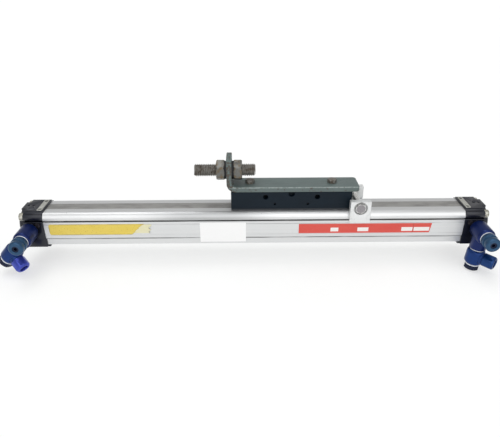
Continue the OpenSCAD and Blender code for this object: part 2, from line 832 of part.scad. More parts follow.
// End view of a jaw on the +Y side, with a toe that hooks into the barrel's groove.
module jaw_section() {
    toe_h = hook_h - 2 * side_play;
    difference() {
        translate([jaw_inner, jaw_bottom]) square([jaw_face - jaw_inner, jaw_top - jaw_bottom]);
        translate([0, jaw_bottom - 1]) square([half_w + jaw_play, shoulder_z - jaw_bottom + 1]);
        translate([shoulder_y, shoulder_z]) circle(shoulder_r + jaw_play);
        square([shoulder_y, barrel_top + jaw_play]);
    }
    translate([half_w - hook_mouth + side_play, hook_z - toe_h / 2])
        square([hook_mouth + jaw_play, toe_h]);
}

module stop_front_jaw() {
    color("#d9dcdc") difference() {
        translate([stop_x, 0, 0]) along_x(jaw_w) mirror([1, 0]) jaw_section();
        bar_y(stop_bolt_r + 0.1, -jaw_face - 1, -jaw_inner + 1, stop_x, stop_bolt_z);
        bar_y(counterbore_r, -jaw_face - 1, -jaw_face + counterbore_depth, stop_x, stop_bolt_z);
    }
}

module stop_rear_jaw() {
    color("#b9bdb8") difference() {
        translate([stop_x, 0, 0]) along_x(jaw_w) jaw_section();
        bar_y(stop_bolt_r + play, jaw_inner - 1, jaw_face + 1, stop_x, stop_bolt_z);
    }
}

module stop_bolt() {
    seat = -jaw_face + counterbore_depth;
    color("#a6a39f") translate([stop_x, seat, stop_bolt_z]) rotate([-90, 0, 0]) {
        translate([0, 0, -stop_flange_h - stop_head_h]) rotate([0, 0, 12]) intersection() {
            linear_extrude(stop_head_h) hexagon(stop_head_flats);
            cylinder(h = stop_head_h, r1 = stop_head_flats / 2, r2 = stop_head_flats);
        }
        translate([0, 0, -stop_flange_h]) cylinder(h = stop_flange_h, r = stop_flange_r);
        cylinder(h = jaw_face - seat + 1.5, r = stop_bolt_r);
    }
}

// ---- Air fittings ----

// Puts a fitting's own frame at a port: the port's axis is Y and the arm points down.
module at_port(side) {
    translate([side * port_x, 0, bore_z]) rotate([0, side < 0 ? left_arm_tilt : right_arm_tilt, 0])
        children();
}

// Puts the hose outlet's own frame in the middle of its swivel body, with the outlet along X.
module at_outlet(side) {
    at_port(side) translate([0, arm_y, -hose_mid])
        rotate([0, 0, side < 0 ? left_outlet_turn : right_outlet_turn]) children();
}

module hollow_bolt(side) {
    color("#2d6f8e") at_port(side) difference() {
        union() {
            bar_y(bolt_shank_r, -neck_start - eps, -cap_face + port_depth - 1);
            bar_y(neck_steps[0][0], -neck_start - neck_steps[0][1], -neck_start);
            bar_y(neck_steps[1][0], -neck_start - neck_steps[0][1] - neck_steps[1][1],
                -neck_start - neck_steps[0][1]);
            bar_y(neck_steps[2][0], -neck_end + neck_steps[3][1],
                -neck_end + neck_steps[3][1] + neck_steps[2][1]);
            bar_y(neck_steps[3][0], -neck_end + 1, -neck_end + neck_steps[3][1]);
            translate([0, -neck_end, 0]) rotate([-90, 0, 0])
                cylinder(h = 1, r1 = neck_steps[3][0] - 1, r2 = neck_steps[3][0]);
        }
        bar_y(flow_screw_r + play, -neck_end - 1, -neck_start + 2);
        bar_y(2, -neck_start, -cap_face + port_depth);
        translate([0, arm_y, 0]) cylinder(h = 20, r = 1.8, center = true);
    }
}

module flow_screw(side) {
    color("#1b2a33") at_port(side) difference() {
        union() {
            bar_y(flow_screw_r, -neck_end + 0.6, -neck_start - 1);
            bar_y(1.5, -neck_start - 1 - eps, -neck_start + 8);
        }
        translate([0, -neck_end + 3.6, 0]) rotate([90, 0, 0]) linear_extrude(4) hexagon(3);
    }
}

module port_washer(near, r) {
    difference() {
        bar_y(r, -near - washer_t, -near);
        bar_y(bolt_shank_r + play, -near - washer_t - 1, -near + 1);
    }
}

module port_washers(side) {
    color("whitesmoke") at_port(side) {
        port_washer(cap_face, port_washer_r);
        port_washer(banjo_far + side_play, outer_washer_r);
    }
}

// A round swivel body with rolled ends, about its own middle.
module swivel_body(length) {
    rotate_extrude($fn = 96) difference() {
        union() {
            translate([0, -length / 2]) square([banjo_r - banjo_edge, length]);
            translate([0, banjo_edge - length / 2]) square([banjo_r, length - 2 * banjo_edge]);
            for (end = [-1, 1]) translate([banjo_r - banjo_edge, end * (length / 2 - banjo_edge)])
                circle(banjo_edge);
        }
        translate([-banjo_r, -length]) square([banjo_r, 2 * length]);
    }
}

module port_banjo(side) {
    color("#1d3a78") at_port(side) difference() {
        union() {
            translate([0, arm_y, 0]) rotate([90, 0, 0]) swivel_body(port_banjo_len);
            translate([0, arm_y, -arm_reach]) cylinder(h = arm_reach, r = arm_r);
        }
        bar_y(banjo_bore_r, -banjo_far - 1, -banjo_near + 1);
        translate([0, arm_y, -arm_reach - 1])
            cylinder(h = arm_reach - banjo_bore_r, r = arm_bolt_r + play);
    }
}

module arm_bolt(side) {
    color("#16233f") at_port(side) translate([0, arm_y, 0]) difference() {
        union() {
            translate([0, 0, -arm_head_start])
                cylinder(h = arm_head_start - arm_reach + arm_bolt_grip, r = arm_bolt_r);
            translate([0, 0, -arm_head_start - arm_head_h]) intersection() {
                linear_extrude(arm_head_h) hexagon(arm_head_flats);
                cylinder(h = arm_head_h, r1 = arm_head_flats / 2, r2 = arm_head_flats);
            }
        }
        translate([0, 0, -hose_mid]) cylinder(h = hose_mid, r = 2);
        translate([0, 0, -hose_mid]) rotate([90, 0, 0]) cylinder(h = 12, r = 1.6, center = true);
    }
}

module arm_washers(side) {
    color("whitesmoke") at_port(side) for (z = [arm_reach, hose_far + side_play])
        translate([0, arm_y, -z - washer_t]) difference() {
            cylinder(h = washer_t, r = outer_washer_r);
            translate([0, 0, -1]) cylinder(h = washer_t + 2, r = arm_bolt_r + play);
        }
}

module hose_banjo(side) {
    color("#20407f") at_outlet(side) difference() {
        union() {
            swivel_body(hose_banjo_len);
            rotate([0, 90, 0]) cylinder(h = outlet_len, r = outlet_r);
            rotate([0, 90, 0]) cylinder(h = outlet_len + stub_len, r = stub_r);
        }
        cylinder(h = hose_banjo_len + 2, r = arm_bolt_bore_r, center = true);
        rotate([0, 90, 0]) cylinder(h = outlet_len + stub_len + 1, r = tube_r - 1);
    }
}

module union_nut(side) {
    color(side < 0 ? "#5a6fb8" : "#233f7c") at_outlet(side) rotate([0, 90, 0]) difference() {
        intersection() {
            translate([0, 0, union_start]) linear_extrude(union_len)
                hexagon(2 * union_r * cos(30) + 0.6);
            union() {
                translate([0, 0, union_start]) cylinder(h = union_len - 2, r = union_r);
                translate([0, 0, union_start + union_len - 2])
                    cylinder(h = 2, r1 = union_r, r2 = union_r - 1.4);
            }
        }
        translate([0, 0, union_start - 1]) cylinder(h = stub_len + 1, r = stub_r + play);
        translate([0, 0, union_start]) cylinder(h = union_len + 1, r = tube_hole_r);
    }
}

barrel();
outer_band();
inner_band();
end_cap(-1);  // left_end_cap
end_cap(1);  // right_end_cap
cap_screws(-1);  // left_cap_screws
cap_screws(1);  // right_cap_screws
cap_seal(-1);  // left_cap_seal
cap_seal(1);  // right_cap_seal
cushion_sleeve(-1);  // left_cushion_sleeve
cushion_sleeve(1);  // right_cushion_sleeve
band_clamp(-1);  // left_band_clamp
band_clamp(1);  // right_band_clamp
clamp_screws(-1);  // left_clamp_screws
clamp_screws(1);  // right_clamp_screws
port_plug(-1);  // left_port_plug
port_plug(1);  // right_port_plug
cushion_needle(-1);  // left_cushion_needle
cushion_needle(1);  // right_cushion_needle
carriage_block();
slide_strips();
band_wipers();
yoke();
yoke_pins();
piston_end(-1);  // left_piston_end
piston_end(1);  // right_piston_end
piston_seals();
piston_wear_rings();
cushion_seals();
bracket();
bracket_screws();
stud();
left_stud_nut();
right_stud_nut();
stud_washers();
stop_front_jaw();
stop_rear_jaw();
stop_bolt();
hollow_bolt(-1);  // left_hollow_bolt
hollow_bolt(1);  // right_hollow_bolt
flow_screw(-1);  // left_flow_screw
flow_screw(1);  // right_flow_screw
port_washers(-1);  // left_port_washers
port_washers(1);  // right_port_washers
port_banjo(-1);  // left_port_banjo
port_banjo(1);  // right_port_banjo
arm_bolt(-1);  // left_arm_bolt
arm_bolt(1);  // right_arm_bolt
arm_washers(-1);  // left_arm_washers
arm_washers(1);  // right_arm_washers
hose_banjo(-1);  // left_hose_banjo
hose_banjo(1);  // right_hose_banjo
union_nut(-1);  // left_union_nut
union_nut(1);  // right_union_nut
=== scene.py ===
# %% [markdown]
# # A rodless air cylinder, dressed in Blender
#
# A rodless cylinder hides its piston in a slotted aluminium barrel and carries its load on a
# carriage that slides along the top. The solids come from CAD as the frame: every one keeps its
# place, and this notebook gives them finishes, and makes anew the pieces whose look needs more
# than a solid, such as a thread, a label, or an edge that is not razor sharp.
# Everything is in metres, in the frame of the CAD, so a length in millimetres is written as
# a number times MM.

# %% The tools and the frame
import math

import bmesh
import bpy
from mathutils import Matrix, Vector


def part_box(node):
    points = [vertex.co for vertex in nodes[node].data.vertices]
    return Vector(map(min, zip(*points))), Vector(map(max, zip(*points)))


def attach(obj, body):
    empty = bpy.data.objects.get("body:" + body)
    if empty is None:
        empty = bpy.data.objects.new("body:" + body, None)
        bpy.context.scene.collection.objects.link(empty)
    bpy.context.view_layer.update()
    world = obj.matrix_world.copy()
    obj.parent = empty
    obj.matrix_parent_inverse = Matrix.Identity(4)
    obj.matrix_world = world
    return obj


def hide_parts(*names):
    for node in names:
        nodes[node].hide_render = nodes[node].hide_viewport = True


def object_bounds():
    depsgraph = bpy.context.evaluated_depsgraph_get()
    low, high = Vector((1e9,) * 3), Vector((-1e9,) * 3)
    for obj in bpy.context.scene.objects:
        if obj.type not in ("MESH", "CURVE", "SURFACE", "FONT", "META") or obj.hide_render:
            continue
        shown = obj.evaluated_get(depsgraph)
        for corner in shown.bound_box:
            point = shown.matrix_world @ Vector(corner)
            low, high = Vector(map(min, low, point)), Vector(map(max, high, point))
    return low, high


MM = 0.001
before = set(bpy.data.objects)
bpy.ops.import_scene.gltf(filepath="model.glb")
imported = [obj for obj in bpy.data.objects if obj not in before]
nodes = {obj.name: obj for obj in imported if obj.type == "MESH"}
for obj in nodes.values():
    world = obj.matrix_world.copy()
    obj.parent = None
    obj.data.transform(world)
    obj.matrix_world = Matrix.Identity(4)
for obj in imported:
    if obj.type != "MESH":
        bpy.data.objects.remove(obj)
cad_box = [list(corner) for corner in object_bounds()]
print("nodes:", len(nodes), "box:", [round(c / MM) for corner in cad_box for c in corner])

# %% [markdown]
# ## The camera
# A camera is fully placed by where it stands, how far it looks down, how far it turns aside and
# how far it leans over. Building its three axes from those angles keeps each one readable, which
# a long list of matrix numbers would not. The lens is an everyday wide one, so the barrel's ends
# are seen from inside, and their outer faces stay hidden.

# %% Camera
CAMERA_PLACE = Vector((-6.77, -446.2, 253.9)) * MM
LOOK_DOWN = math.radians(27.57)
TURN_ASIDE = math.radians(0.33)
LEAN = math.radians(-0.26)
FOCAL_LENGTH = 35.74

ahead = Vector(
    (
        math.sin(TURN_ASIDE) * math.cos(LOOK_DOWN),
        math.cos(TURN_ASIDE) * math.cos(LOOK_DOWN),
        -math.sin(LOOK_DOWN),
    )
)
level_right = Vector((math.cos(TURN_ASIDE), -math.sin(TURN_ASIDE), 0))
level_up = level_right.cross(ahead)
right = level_right * math.cos(LEAN) + level_up * math.sin(LEAN)
up = level_up * math.cos(LEAN) - level_right * math.sin(LEAN)
bpy.ops.object.camera_add(
    location=CAMERA_PLACE,
    rotation=Matrix((right, up, -ahead)).transposed().to_euler(),
)
camera = bpy.context.object
camera.data.sensor_width = 36
camera.data.lens = FOCAL_LENGTH
camera.data.clip_start = 0.01
bpy.context.scene.camera = camera
bpy.context.scene.view_settings.view_transform = "Standard"
print("camera looks along", [round(c, 2) for c in ahead])

# %% [markdown]
# ## Shader maths as plain sums
# A procedural finish is arithmetic on places: a speck is noise above a level, a worn edge is
# a distance below one. Node trees hide that arithmetic in wires, so one small class stands for
# a socket and turns + - and * into Math nodes. Everything that is not a sum goes through a single
# method that makes a node from its type, its settings and its inputs.


# %% A socket that can be used in sums
class Wire:
    """One output socket of a finish."""

    def __init__(self, finish, socket):
        self.finish = finish
        self.socket = socket

    def maths(self, operation, *terms):
        """One Math node whose inputs are the terms."""
        settings = {"operation": operation}
        return self.finish.node("ShaderNodeMath", settings, dict(enumerate(terms)))

    def __add__(self, other):
        return self.maths("ADD", self, other)

    def __sub__(self, other):
        return self.maths("SUBTRACT", self, other)

    def __mul__(self, other):
        return self.maths("MULTIPLY", self, other)

    def __radd__(self, other):
        return self.maths("ADD", other, self)

    def __rsub__(self, other):
        return self.maths("SUBTRACT", other, self)

    def __rmul__(self, other):
        return self.maths("MULTIPLY", other, self)

    def __abs__(self):
        return self.maths("ABSOLUTE", self)

    def least(self, other):
        """The smaller of the two."""
        return self.maths("MINIMUM", self, other)

    def most(self, other):
        """The larger of the two."""
        return self.maths("MAXIMUM", self, other)

    def rise(self, low, high):
        """0 below low, 1 above high, and a smooth step between them."""
        settings = {"interpolation_type": "SMOOTHSTEP"}
        inputs = {"Value": self, "From Min": low, "From Max": high}
        return self.finish.node("ShaderNodeMapRange", settings, inputs)


# %% [markdown]
# ## A finish
# A finish is a material with the Principled shader and the place of the point being shaded. The
# place comes from Object coordinates: every piece here has its origin at the frame's, so they
# are simply metres in the frame, and a pattern stays on its piece when that piece moves.


# %% The finish class
class Finish:
    """A material whose patterns are written as sums on the place of each point."""

    def __init__(self, name):
        self.material = bpy.data.materials.new(name)
        self.material.use_nodes = True
        self.tree = self.material.node_tree
        self.shader = self.tree.nodes["Principled BSDF"]
        self.place = self.node("ShaderNodeTexCoord", output="Object")
        self.x = self.node("ShaderNodeSeparateXYZ", inputs={0: self.place}, output="X")
        self.y = self.node("ShaderNodeSeparateXYZ", inputs={0: self.place}, output="Y")
        self.z = self.node("ShaderNodeSeparateXYZ", inputs={0: self.place}, output="Z")

    def node(self, kind, settings=None, inputs=None, output=0):
        """Makes a node: its settings first, then the values or links of its sockets."""
        made = self.tree.nodes.new(kind)
        for name, value in (settings or {}).items():
            setattr(made, name, value)
        for key, value in (inputs or {}).items():
            if isinstance(value, Wire):
                self.tree.links.new(value.socket, made.inputs[key])
            else:
                made.inputs[key].default_value = value
        return Wire(self, made.outputs[output])

    def noise(self, size, detail=3.0, stretch=(1, 1, 1), shift=0.0):
        """Soft noise from 0 to 1 whose blobs are about size metres, longer where stretched."""
        scale = tuple(1 / (size * s) for s in stretch)
        moved = {"Vector": self.place, "Scale": scale, "Location": (shift, shift, shift)}
        where = self.node("ShaderNodeMapping", {}, moved)
        inputs = {"Vector": where, "Scale": 1.0, "Detail": detail}
        return self.node("ShaderNodeTexNoise", {}, inputs)

    def mix(self, factor, first, second):
        """A colour that goes from first to second."""
        settings = {"data_type": "RGBA"}
        return self.node("ShaderNodeMix", settings, {0: factor, 6: first, 7: second}, output=2)

    def bump(self, height, distance):
        """A normal for a height from 0 to 1 that stands for distance metres."""
        inputs = {"Height": height, "Distance": distance, "Strength": 1.0}
        return self.node("ShaderNodeBump", {}, inputs)

    def set(self, **values):
        """Sets the shader's sockets, such as base_color or roughness."""
        for name, value in values.items():
            socket = self.shader.inputs[name.replace("_", " ").title().replace("Ior", "IOR")]
            if isinstance(value, Wire):
                self.tree.links.new(value.socket, socket)
            else:
                socket.default_value = value
        return self.material


def paint(red, green, blue):
    """A colour given as the 0 to 255 values of a screen, made linear for the shader."""

    def linear(level):
        share = level / 255
        return share / 12.92 if share <= 0.04045 else ((share + 0.055) / 1.055) ** 2.4

    return (linear(red), linear(green), linear(blue), 1.0)


print("a mid grey on screen is", round(paint(128, 128, 128)[0], 3), "in the shader")

# %% [markdown]
# ## Floor, world and lamps
# The object lies on a plain white table, which glows a little so that its shadows stay light, as
# they do on a backlit sheet. Metal shows what stands around it more than its own colour, so the
# world has three faces. The camera sees a white wall. Rays that light the object find an even
# grey sky, so that two wide suns can give it direction, and the table is lit the same from end
# to end. Reflections find a bright panel behind the camera, which draws the white line on
# the barrel's shoulder, and a dimmer room everywhere else, which keeps the flat top grey. The
# panel has a soft edge: it starts where a direction's agreement with its aim is PANEL_EDGE, and
# is at its full strength from PANEL_CORE up, where 1 is straight at it.

# %% Table
TABLE_SIZE = 12
TABLE_GLOW = 0.52

lowest = cad_box[0][2]
bpy.ops.mesh.primitive_plane_add(size=TABLE_SIZE, location=(0, 0, lowest))
floor = bpy.context.object
floor.name = "table_top"
table_white = Finish("table_white")
grain = table_white.noise(0.4, detail=2)
table_white.set(
    base_color=table_white.mix(grain, paint(184, 185, 184), paint(188, 189, 188)),
    emission_color=(1.0, 1.0, 1.0, 1.0),
    emission_strength=TABLE_GLOW,
    roughness=0.9,
    specular_ior_level=0.1,
)
floor.data.materials.append(table_white.material)
print("the table lies at", round(lowest / MM, 1), "mm")

# %% World
WALL = 1.0
EVEN_SKY = 0.74
DIM_ROOM = 0.5
PANEL = 1.5
PANEL_AIM = Vector((0, -0.86, 0.51))
PANEL_EDGE = 0.7
PANEL_CORE = 0.93

world = bpy.data.worlds.new("studio")
bpy.context.scene.world = world
world.use_nodes = True
links = world.node_tree.links
background = world.node_tree.nodes["Background"]
background.inputs["Color"].default_value = (1.0, 1.0, 1.0, 1.0)


def world_node(kind, **inputs):
    """A node of the world, with its inputs named by their labels or numbers."""
    made = world.node_tree.nodes.new(kind)
    for key, value in inputs.items():
        socket = made.inputs[int(key[1:]) if key[1:].isdigit() else key.replace("_", " ")]
        if hasattr(value, "is_output"):
            links.new(value, socket)
        else:
            socket.default_value = value
    return made


ray = world_node("ShaderNodeLightPath").outputs
outlook = world_node("ShaderNodeTexCoord").outputs["Generated"]
facing = world_node("ShaderNodeVectorMath", _0=outlook, _1=PANEL_AIM)
facing.operation = "DOT_PRODUCT"
panel = world_node(
    "ShaderNodeMapRange",
    Value=facing.outputs["Value"],
    From_Min=PANEL_EDGE,
    From_Max=PANEL_CORE,
    To_Min=DIM_ROOM,
    To_Max=PANEL,
)
panel.interpolation_type = "SMOOTHSTEP"
lighting = world_node("ShaderNodeMix", _0=ray["Is Glossy Ray"], _2=EVEN_SKY, _3=panel.outputs[0])
seen = world_node("ShaderNodeMix", _0=ray["Is Camera Ray"], _2=lighting.outputs[0], _3=WALL)
links.new(seen.outputs[0], background.inputs["Strength"])
print("the world has", len(world.node_tree.nodes), "nodes")

# %% Lamps
# Each lamp's place, how many degrees wide it is, and its power.
LAMPS = {
    "skylight": (Vector((-0.2, 0.3, 1.5)), 32, 0.6),
    "window": (Vector((0.4, -1.2, 1.3)), 70, 0.4),
}
for name, (place, spread, power) in LAMPS.items():
    aim = (-place).to_track_quat("-Z", "Y")
    bpy.ops.object.light_add(type="SUN", location=place, rotation=aim.to_euler())
    lamp = bpy.context.object
    lamp.name = name
    lamp.data.angle = math.radians(spread)
    lamp.data.energy = power
print("lamps:", list(LAMPS))

# %% [markdown]
# ## Bare aluminium
# The barrel is an extrusion, so its grain is hundreds of faint lines that run its whole length:
# noise stretched enormously along X. On top of it lie the marks of years of use, a few dark
# specks, and a painted shade along each groove: how near a point is to a groove's height, with
# the shade's edge wandering a little and broken up like dirt. One stretch of the round shoulder
# is painted darker, a painted reflection of something dark nearby. The stop's jaws are sawn and
# milled from the same metal, with the grain upright.


# %% The barrel's aluminium
# Each groove's height and how far its painted shade reaches, in mm, and how strong the shade is.
SHADED_GROOVES = ((28.2, 1.3, 0.95), (24.5, 0.5, 0.3), (9.0, 1.2, 0.95), (13.0, 0.5, 0.2))
# Where the shoulder's painted reflection lies along X: where it starts, is full, starts to fade,
# and ends.
REFLECTION_STRETCH = (-130 * MM, -60 * MM, -25 * MM, 30 * MM)
SHOULDER_FOOT = 28.6 * MM
SHOULDER_FULL = 30 * MM


def drawn_aluminium():
    """The barrel's metal: lengthwise grain, specks, painted shade along the grooves, and a painted
    reflection on the shoulder.
    """
    metal = Finish("drawn_aluminium")
    lines = metal.noise(0.00035, detail=2, stretch=(900, 1, 1))
    veil = metal.noise(0.02, detail=4, stretch=(4, 1, 1))
    specks = metal.noise(0.0011, detail=1, stretch=(1.6, 1, 1)).rise(0.79, 0.83)
    scuffs = metal.noise(0.0007, detail=2, stretch=(14, 1, 1), shift=3.1).rise(0.74, 0.8)
    marks = (specks * 0.7 + scuffs * 0.35).least(0.8)
    wander = (metal.noise(0.004, detail=3, stretch=(5, 1, 1), shift=6.1) - 0.5) * (1.2 * MM)
    # Painted shade along each groove, darkest at the groove's height and broken up by noise.
    grime_and_shade = 0 * metal.x
    for height, reach, strength in SHADED_GROOVES:
        near = abs(metal.z + wander * 0.4 - height * MM)
        grime_and_shade = grime_and_shade.most((1 - near.rise(0.3 * reach * MM, reach * MM)) * strength)
    grime_and_shade = grime_and_shade * metal.noise(0.006, detail=3, stretch=(6, 1, 1), shift=8.2).rise(0.25, 0.6)
    starts, full, fades, ends = REFLECTION_STRETCH
    # A stretch of the shoulder painted darker: a painted reflection of something dark nearby.
    painted_reflection = metal.x.rise(starts, full) * (1 - metal.x.rise(fades, ends))
    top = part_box("barrel")[1].z
    below_top = 1 - metal.z.rise(top - 0.25 * MM, top)
    shoulder = metal.z.rise(SHOULDER_FOOT, SHOULDER_FULL) * below_top
    light = metal.mix(lines, paint(212, 213, 214), paint(235, 236, 236))
    veiled = metal.mix(veil * 0.35, light, paint(196, 197, 198))
    with_painted_reflection = metal.mix(painted_reflection * shoulder * 0.6, veiled, paint(150, 152, 153))
    return metal.set(
        base_color=metal.mix(marks.most(grime_and_shade), with_painted_reflection, paint(84, 84, 86)),
        metallic=0.75,
        roughness=0.3 + veil * 0.16 + marks.most(grime_and_shade) * 0.2,
        normal=metal.bump(lines, 0.00002),
    )


# %% The jaws' aluminium
def milled_aluminium():
    """The stop's jaws: upright grain and a few grey blotches."""
    metal = Finish("milled_aluminium")
    lines = metal.noise(0.0005, detail=2, stretch=(1, 1, 30))
    blotches = metal.noise(0.004, detail=4, shift=1.7)
    light = metal.mix(lines, paint(222, 224, 224), paint(240, 241, 241))
    return metal.set(
        base_color=metal.mix(blotches.rise(0.5, 0.75) * 0.45, light, paint(178, 180, 178)),
        metallic=0.55,
        roughness=0.38 + blotches * 0.15,
        normal=metal.bump(lines, 0.00002),
    )


# %% [markdown]
# ## The stop bolt's finish
# The bolt sits in a counterbore, which shades the middle of its head, while its rim and its
# shank catch the light: the middle gets a painted shade, the rim a painted highlight. So its
# colour depends on how far a point is from the bolt's axis. Behind the flange the shank has a
# painted highlight all over.

# %% The stop bolt's finish
# Where the painted highlight starts and is full, out from the axis on the head and along the
# shank.
RIM_STARTS = 3.8 * MM
RIM_FULL = 4.8 * MM
SHANK_STARTS = 5 * MM
SHANK_FULL = 6 * MM


def bolt_steel():
    """The stop's bolt: a painted shade on the middle of the head, a painted highlight at its rim
    and along the shank.
    """
    metal = Finish("stop_bolt_painted_light")
    low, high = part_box("stop_bolt")
    aside = metal.x - (low.x + high.x) / 2
    above = metal.z - (low.z + high.z) / 2
    squared = aside * aside + above * above
    from_axis = metal.node("ShaderNodeMath", {"operation": "SQRT"}, {0: squared})
    # Painted light: a painted shade on the middle of the head, a painted highlight at the rim and
    # on the shank.
    rim = from_axis.rise(RIM_STARTS, RIM_FULL)
    shank = metal.y.rise(low.y + SHANK_STARTS, low.y + SHANK_FULL)
    bright = (rim * 0.8).most(shank)
    mottle = metal.noise(0.0009, detail=4)
    dull = metal.mix(mottle, paint(168, 165, 167), paint(124, 121, 126))
    return metal.set(
        base_color=metal.mix(bright, dull, paint(232, 231, 228)),
        metallic=0.92,
        roughness=0.2 + mottle * 0.14,
    )


# %% [markdown]
# ## Turned metals
# A machined piece that shows little needs no more than a fine mottle and its own grey. The yoke
# is aluminium, and the cushion sleeves are brass.


# %% Turned metals
def turned_metal(name, light, dark, roughness=0.35, size=0.0008):
    """A plain machined metal with a fine mottle."""
    metal = Finish(name)
    mottle = metal.noise(size, detail=4)
    return metal.set(
        base_color=metal.mix(mottle, light, dark),
        metallic=0.9,
        roughness=roughness + mottle * 0.12,
        normal=metal.bump(mottle, 0.00001),
    )


aluminium = drawn_aluminium()
jaw_metal = milled_aluminium()
inner_aluminium = turned_metal("yoke_metal", paint(196, 198, 200), paint(168, 170, 172))
brass = turned_metal("turned_brass", paint(206, 172, 102), paint(176, 138, 70))
print("bare metals:", [m.name for m in (aluminium, jaw_metal, inner_aluminium, brass)])

# %% [markdown]
# ## Steel: new, springy and old
# Several steels lie side by side. The sealing band is dull grey with lengthwise rubbing marks.
# The cap screws are zinc plated and only stained a little. The stud, its nuts and the bracket's
# screws have lost their plating: brown patches spread over grey metal. One noise decides where
# the brown lies, and a finer one how light each of the two is. The nuts keep more shine on their
# flats, so they have a finish of their own. Screws, washers, clamp bars and pins that show
# little are plain turned metal in their own greys.


# %% Steel that is still clean
def band_steel():
    """The sealing bands: grey, rubbed lengthwise, with duller patches."""
    metal = Finish("band_steel")
    rubbing = metal.noise(0.0005, detail=3, stretch=(60, 1, 1))
    patches = metal.noise(0.006, detail=4, stretch=(2.5, 1, 1), shift=0.7)
    grey = metal.mix(rubbing, paint(138, 137, 135), paint(176, 175, 172))
    return metal.set(
        base_color=metal.mix(patches.rise(0.35, 0.75) * 0.6, grey, paint(118, 117, 115)),
        metallic=0.45,
        roughness=0.42 + patches * 0.2,
        normal=metal.bump(rubbing, 0.00002),
    )


def zinc_plate():
    """The cap screws: pale plating with stains."""
    metal = Finish("zinc_plate")
    stains = metal.noise(0.0016, detail=4)
    return metal.set(
        base_color=metal.mix(stains.rise(0.35, 0.7), paint(198, 197, 188), paint(142, 138, 122)),
        metallic=0.75,
        roughness=0.3 + stains * 0.2,
        normal=metal.bump(stains, 0.00003),
    )


# %% Steel that has lost its plating
def worn_steel():
    """The stud and the bracket's screws: grey steel under brown patches."""
    metal = Finish("worn_steel")
    patches = metal.noise(0.0035, detail=5)
    grit = metal.noise(0.0005, detail=3, shift=2.3)
    rust = patches.rise(0.48, 0.68)
    grey = metal.mix(grit, paint(112, 109, 105), paint(152, 149, 143))
    brown = metal.mix(grit, paint(70, 60, 50), paint(98, 86, 73))
    return metal.set(
        base_color=metal.mix(rust, grey, brown),
        metallic=0.75 - rust * 0.4,
        roughness=0.34 + patches * 0.25,
        normal=metal.bump(grit * 0.5 + patches * 0.5, 0.00008),
    )


def nut_steel():
    """The stud's nuts: darker grey that still shines, under brown patches."""
    metal = Finish("nut_steel")
    patches = metal.noise(0.004, detail=5, shift=1.9)
    grit = metal.noise(0.0006, detail=3, shift=0.4)
    rust = patches.rise(0.5, 0.68)
    grey = metal.mix(grit, paint(86, 88, 88), paint(130, 128, 122))
    brown = metal.mix(grit, paint(84, 73, 57), paint(122, 107, 84))
    return metal.set(
        base_color=metal.mix(rust, grey, brown),
        metallic=0.88 - rust * 0.45,
        roughness=0.28 + patches * 0.22,
        normal=metal.bump(grit * 0.5 + patches * 0.5, 0.00006),
    )


# %% All the steels
band_metal = band_steel()
zinc = zinc_plate()
old_steel = worn_steel()
old_nut = nut_steel()
dark_steel = turned_metal("blackened_steel", paint(62, 62, 64), paint(40, 40, 42), 0.45)
bar_steel = turned_metal("ground_bar", paint(232, 232, 226), paint(164, 164, 156), 0.36, 0.0018)
stop_screw_steel = bolt_steel()
pin_steel = turned_metal("pin_steel", paint(74, 74, 76), paint(50, 50, 52), 0.5)
print("steels:", [m.name for m in (band_metal, zinc, old_steel, old_nut, stop_screw_steel)])

# %% [markdown]
# ## Anodised skins
# The caps, the carriage and the fittings are aluminium with a coloured skin. The caps are cast
# and blasted first, which leaves a grain one can feel, so they get a bump of fine noise, and a
# thin coat that shines at their rounded corners. The carriage was milled flat and shows only a
# satin sheen with a few rubbed places. The fittings were turned, so they shine more, and their
# pieces are several blues, as they came from different makings.


# %% The caps' and the carriage's skins
def cap_black():
    """The end caps: a blue black with a fine grain under a thin shine."""
    skin = Finish("cap_black")
    grain = skin.noise(0.0004, detail=3)
    bloom = skin.noise(0.006, detail=4, shift=0.4)
    return skin.set(
        base_color=skin.mix(bloom, paint(13, 16, 27), paint(22, 26, 40)),
        metallic=0.25,
        coat_weight=0.3,
        coat_roughness=0.12,
        roughness=0.3 + bloom * 0.12,
        normal=skin.bump(grain, 0.00004),
    )


def carriage_navy():
    """The carriage: a satin navy with a few rubbed places."""
    skin = Finish("carriage_navy")
    bloom = skin.noise(0.009, detail=4, stretch=(2, 1, 1))
    rubbed = skin.noise(0.0016, detail=3, stretch=(3, 1, 1), shift=5.2).rise(0.7, 0.8)
    dark = skin.mix(bloom, paint(7, 20, 30), paint(13, 29, 41))
    return skin.set(
        base_color=skin.mix(rubbed * 0.25, dark, paint(62, 74, 86)),
        metallic=0.1,
        specular_ior_level=0.22,
        roughness=0.46 + bloom * 0.12,
        normal=skin.bump(bloom, 0.00003),
    )


# %% The fittings' skins
def anodised(name, deep, bright, roughness=0.26):
    """A coloured anodised skin on turned metal, a little paler where hands have rubbed it."""
    skin = Finish(name)
    bloom = skin.noise(0.004, detail=4)
    turning = skin.noise(0.0003, detail=2, shift=1.3)
    return skin.set(
        base_color=skin.mix(bloom, deep, bright),
        metallic=0.55,
        roughness=roughness + bloom * 0.12,
        normal=skin.bump(turning, 0.00001),
    )


